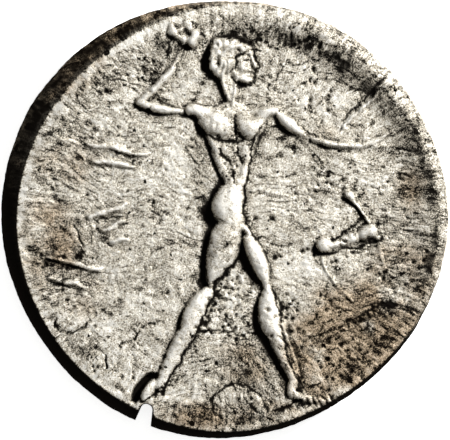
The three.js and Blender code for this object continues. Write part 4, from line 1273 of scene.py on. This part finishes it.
def look_colours(look):
    """Colours of the silver from the blackest tarnish and painted shadow to the brightest metal."""
    dark, dull, bright = (np.array(c) for c in (look.tarnish, look.dull_silver, look.bright_silver))
    colours = (dark, *(dark + (dull - dark) * share for share in DARK_SHARES), dull, bright)
    return [tuple(float(v) for v in colour) for colour in colours]


def bent(paint, place, scale, detail, reach):
    """A place that a noise moves a little."""
    sockets = {"Vector": place, "Scale": scale, "Detail": detail}
    noise = paint.node("ShaderNodeTexNoise", {}, sockets, output="Color")
    return place.vector("ADD", {1: noise.vector("SCALE", {"Scale": reach})})


def flow_lines(paint, place):
    """Streaks that run out from the middle, where the blow drove the silver outwards."""
    level = place.vector("MULTIPLY", {1: (1, 1, 0)})
    away = level.vector("LENGTH", output="Value")
    along = paint.node("ShaderNodeCombineXYZ", {}, {"Z": away * STREAK_RATE})
    round_coin = level.vector("NORMALIZE").vector("SCALE", {"Scale": STREAKS_ROUND})
    streaks = paint.noise(round_coin.vector("ADD", {1: along}), *FLOW)
    return streaks, away.ramp(5 * MM, 9 * MM)


def pits(paint, place, scale, reach):
    """Small round pits, most of them tiny, and the pale rims round them."""
    cell = {"Vector": place, "Scale": scale}
    far = paint.node("ShaderNodeTexVoronoi", {}, cell, output="Distance")
    chance = paint.node("ShaderNodeTexVoronoi", {}, cell, output="Color").vector("LENGTH", output="Value")
    radius = (chance * 0.6) ** 6 * reach
    return (radius - far).ramp(0, 0.05), (radius - far).ramp(-0.16, -0.04) * radius.ramp(0.05, 0.15)


def silver_paint(look):
    """Worn silver: bright where rubbed, black in hollows and where shade is painted into its tone, wrinkled,
    pitted and brown in places.
    """
    paint = Paint("worn_silver")
    place = paint.node("ShaderNodeTexCoord", output="Object")
    tone, earth, pitted = (paint.attribute(name) for name in ("tone", "earth", "pitted"))
    grain, fleck, spot, cloud = (paint.noise(place, *values) for values in (GRAIN, FLECKS, SPOTS, CLOUDING))
    ragged, swept = bent(paint, place, *RAGGED_BEND), bent(paint, place, *SWEEP_BEND)
    axes = {name: swept.vector("DOT_PRODUCT", {1: row}, "Value") for name, row in SKEW.items()}
    skewed = paint.node("ShaderNodeCombineXYZ", {}, axes)
    wave, dashes = paint.noise(skewed, *WAVES), paint.noise(skewed, *DASHES)
    streaks, outward = flow_lines(paint, place)
    wrinkle = (1 - (wave - 0.5) * (wave - 0.5) * WRINKLE_NARROWNESS).clamped() * cloud.ramp(0.44, 0.56)
    rare, fine_pits, eaten = (pits(paint, ragged, *values) for values in (RARE_PITS, FINE_PITS, EATEN_PITS))
    holes = rare[0] + fine_pits[0] + eaten[0] * pitted
    fine = (grain - 0.5) * look.speckle + (fleck - 0.5) * look.speckle * 0.7
    broad = (cloud - 0.5) * 1.3 + (spot - 0.5) * 0.5 + (streaks - 0.5) * (0.3 + 1.4 * outward)
    drawn = (dashes - 0.5) * 0.8 - dashes.ramp(0.43, 0.34) * 0.35 - wrinkle * 0.3
    broad = broad + drawn * tone.ramp(0.7, 0.9, 1.0, 0.35)
    light = tone + (fine + broad) * tone.ramp(0.0, 0.3) * (1.0 - tone * 0.22)
    light = (light + eaten[1] * pitted * tone.ramp(0.15, 0.5) - holes.clamped() * 0.9).clamped()
    stops = zip(TONE_STOPS, look_colours(look))
    colour = paint.node("ShaderNodeValToRGB", {"stops": list(stops)}, {"Fac": light})
    soiled = (earth * 1.1 + (cloud - 0.5) * 0.8 + (grain - 0.5) * 0.8).ramp(0.15, 1.1)
    colour = paint.mixed(soiled, colour, (*look.earth, 1), "MULTIPLY")
    relief = grain * 0.5 + fleck * 0.3 + cloud * 0.6 + streaks * (0.2 + 0.6 * outward)
    metal = paint.node("ShaderNodeBsdfPrincipled", {}, {
        "Base Color": colour,
        "Metallic": light.ramp(0.2, 0.8, 0.0, look.metal),
        "Roughness": light.ramp(0.0, 0.9, 0.7, look.roughness),
        "Specular IOR Level": 0.0,
        "Normal": paint.node("ShaderNodeBump", {}, {
            "Strength": 1.0,
            "Distance": look.grain_depth,
            "Height": relief - wrinkle * 0.2 - holes,
        }),
    })
    return paint.finish(metal)


# The floor's mottling: scale and detail, strength and colour, and the colour of the floor's glow
FLOOR_NOISE = (60, 3)
FLOOR_MOTTLE = 0.1
FLOOR_SPOTS = (0.86, 0.86, 0.85, 1)
FLOOR_LIGHT = (1.0, 1.0, 0.99, 1)


def floor_paint(look):
    """The pale floor, faintly mottled, which gives off a little light."""
    paint = Paint("pale_floor")
    place = paint.node("ShaderNodeTexCoord", output="Object")
    mottle = paint.noise(place, *FLOOR_NOISE)
    colour = paint.mixed(mottle * FLOOR_MOTTLE, (*look.floor, 1), FLOOR_SPOTS)
    surface = paint.node("ShaderNodeBsdfPrincipled", {}, {
        "Base Color": colour,
        "Roughness": 0.9,
        "Emission Color": FLOOR_LIGHT,
        "Emission Strength": look.floor_glow,
    })
    return paint.finish(surface)


def number(name, description, default, unit="NONE"):
    return bpy.props.FloatProperty(name=name, description=description, default=default, unit=unit)


def count(name, description, default):
    return bpy.props.IntProperty(name=name, description=description, default=default)


def colour(name, description, default):
    return bpy.props.FloatVectorProperty(
        name=name, description=description, subtype="COLOR", size=3, min=0, max=1, default=default
    )


class StaterLook(bpy.types.PropertyGroup):
    """Sizes and finishes of the coin."""

    relief: number("Relief", "Height of the striding man over the field", FIGURE_RELIEF * MM, "LENGTH")
    grain: number("Field grain", "Strength of the fine dents of the field", 1.0)
    face_quads: count("Face quads", "Quads across the upper face", 280)
    under_quads: count("Underside quads", "Quads across the underside", 102)
    grain_depth: number("Grain depth", "Depth of the finest grain", 0.03 * MM, "LENGTH")
    speckle: number("Speckle", "Contrast of the finest tarnish", 2.6)
    metal: number("Metal", "How metallic the rubbed silver is", 0.5)
    roughness: number("Roughness", "Roughness of the rubbed silver", 0.6)
    bright_silver: colour("Bright silver", "Silver where it is rubbed", (0.90, 0.875, 0.81))
    dull_silver: colour("Dull silver", "Silver of the field", (0.61, 0.55, 0.44))
    # The blackest colour serves the tarnish and the painted shadows alike
    tarnish: colour("Tarnish", "Black tarnish in hollows", (0.006, 0.005, 0.004))
    earth: colour("Earth", "Tint of the brown toning", (0.77, 0.66, 0.55))


class StaterStage(bpy.types.PropertyGroup):
    """Floor, lights and camera."""

    floor: colour("Floor", "Colour of the floor", (0.95, 0.95, 0.945))
    floor_glow: number("Floor glow", "Light that the floor gives off", 0.85)
    key_power: number("Key light", "Power of the low light from the upper right", 1.0, "POWER")
    top_power: number("Top light", "Power of the soft light overhead", 0.08, "POWER")
    world_strength: number("Surroundings", "Strength of the even light all round", 0.12)
    lens: number("Lens", "Focal length of the camera in millimetres", 300.0)


class STATER_OT_coin(bpy.types.Operator):
    """Make the struck coin's surface with its tarnish and painted shade"""

    bl_idname = "stater.coin"
    bl_label = "Coin"

    def execute(self, context):
        look = context.scene.stater_look
        upper = UpperFace(look.relief / MM, look.grain)
        made = CoinShell(look.face_quads, look.under_quads, upper, UnderFace())
        coin = bpy.data.objects.new("struck_coin", made.shell.mesh("struck_coin", flan_middle()))
        context.scene.collection.objects.link(coin)
        coin.data.materials.append(silver_paint(look))
        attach(coin, "root")
        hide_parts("coin")
        return {"FINISHED"}


class STATER_OT_stage(bpy.types.Operator):
    """Make the pale floor, the lights and the camera over the coin"""

    bl_idname = "stater.stage"
    bl_label = "Stage"

    FLOOR_SIZE = 0.8
    PHOTO_WIDTH_PX = 450
    COIN_WIDTH_PX = 448
    SENSOR = 36.0
    # Lamps: distance in metres, azimuth and elevation in degrees, size in metres
    KEY_LIGHT = (0.25, 36, 37, 0.025)
    TOP_LIGHT = (0.3, 60, 84, 0.12)

    def execute(self, context):
        look = context.scene.stater_stage
        self.floor(context, look)
        self.lamp(context, "key_light", look.key_power, *self.KEY_LIGHT)
        self.lamp(context, "top_light", look.top_power, *self.TOP_LIGHT)
        world = bpy.data.worlds.new("soft_room")
        world.use_nodes = True
        sockets = world.node_tree.nodes["Background"].inputs
        sockets["Color"].default_value = (1, 1, 1, 1)
        sockets["Strength"].default_value = look.world_strength
        context.scene.world = world
        context.scene.view_settings.view_transform = "Standard"
        self.camera(context, look)
        return {"FINISHED"}

    def floor(self, context, look):
        half = self.FLOOR_SIZE / 2
        mesh = bpy.data.meshes.new("floor")
        corners = [(-half, -half, 0), (half, -half, 0), (half, half, 0), (-half, half, 0)]
        mesh.from_pydata(corners, [], [(0, 1, 2, 3)])
        floor = bpy.data.objects.new("floor", mesh)
        context.scene.collection.objects.link(floor)
        mesh.materials.append(floor_paint(look))

    def lamp(self, context, name, power, distance, azimuth, elevation, size):
        """A soft lamp, at an azimuth turned from the right and an elevation, aimed at the coin."""
        data = bpy.data.lights.new(name, "AREA")
        data.energy, data.size = power, size
        lamp = bpy.data.objects.new(name, data)
        context.scene.collection.objects.link(lamp)
        a, e = math.radians(azimuth), math.radians(elevation)
        way = Vector((math.cos(a) * math.cos(e), math.sin(a) * math.cos(e), math.sin(e)))
        lamp.location = way * distance
        lamp.rotation_euler = way.to_track_quat("Z", "Y").to_euler()

    def camera(self, context, look):
        """Straight over the coin, as far as makes it fill the photo's frame."""
        data = bpy.data.cameras.new("camera")
        data.lens, data.sensor_width = look.lens, self.SENSOR
        low, high = CAD_BOX
        view_width = (high.x - low.x) * self.PHOTO_WIDTH_PX / self.COIN_WIDTH_PX
        distance = view_width * look.lens / self.SENSOR
        data.clip_start, data.clip_end = distance / 10, distance * 10
        camera = bpy.data.objects.new("camera", data)
        context.scene.collection.objects.link(camera)
        middle = flan_middle() * MM
        camera.location = (-middle[0], -middle[1], WIDEST_LEVEL * MM + distance)
        context.scene.camera = camera


class STATER_PT_panel(bpy.types.Panel):
    """The coin's operators and values in the sidebar"""

    bl_label = "Stater"
    bl_space_type = "VIEW_3D"
    bl_region_type = "UI"
    bl_category = "Stater"

    def draw(self, context):
        for group in (context.scene.stater_look, context.scene.stater_stage):
            for name in group.__annotations__:
                self.layout.prop(group, name)
        self.layout.operator("stater.coin")
        self.layout.operator("stater.stage")


CLASSES = (StaterLook, StaterStage, STATER_OT_coin, STATER_OT_stage, STATER_PT_panel)


def register():
    for made in CLASSES:
        bpy.utils.register_class(made)
    bpy.types.Scene.stater_look = bpy.props.PointerProperty(type=StaterLook)
    bpy.types.Scene.stater_stage = bpy.props.PointerProperty(type=StaterStage)


def unregister():
    del bpy.types.Scene.stater_stage
    del bpy.types.Scene.stater_look
    for made in reversed(CLASSES):
        bpy.utils.unregister_class(made)


def main():
    register()
    bpy.ops.stater.coin()
    bpy.ops.stater.stage()


if __name__ == "__main__":
    main()
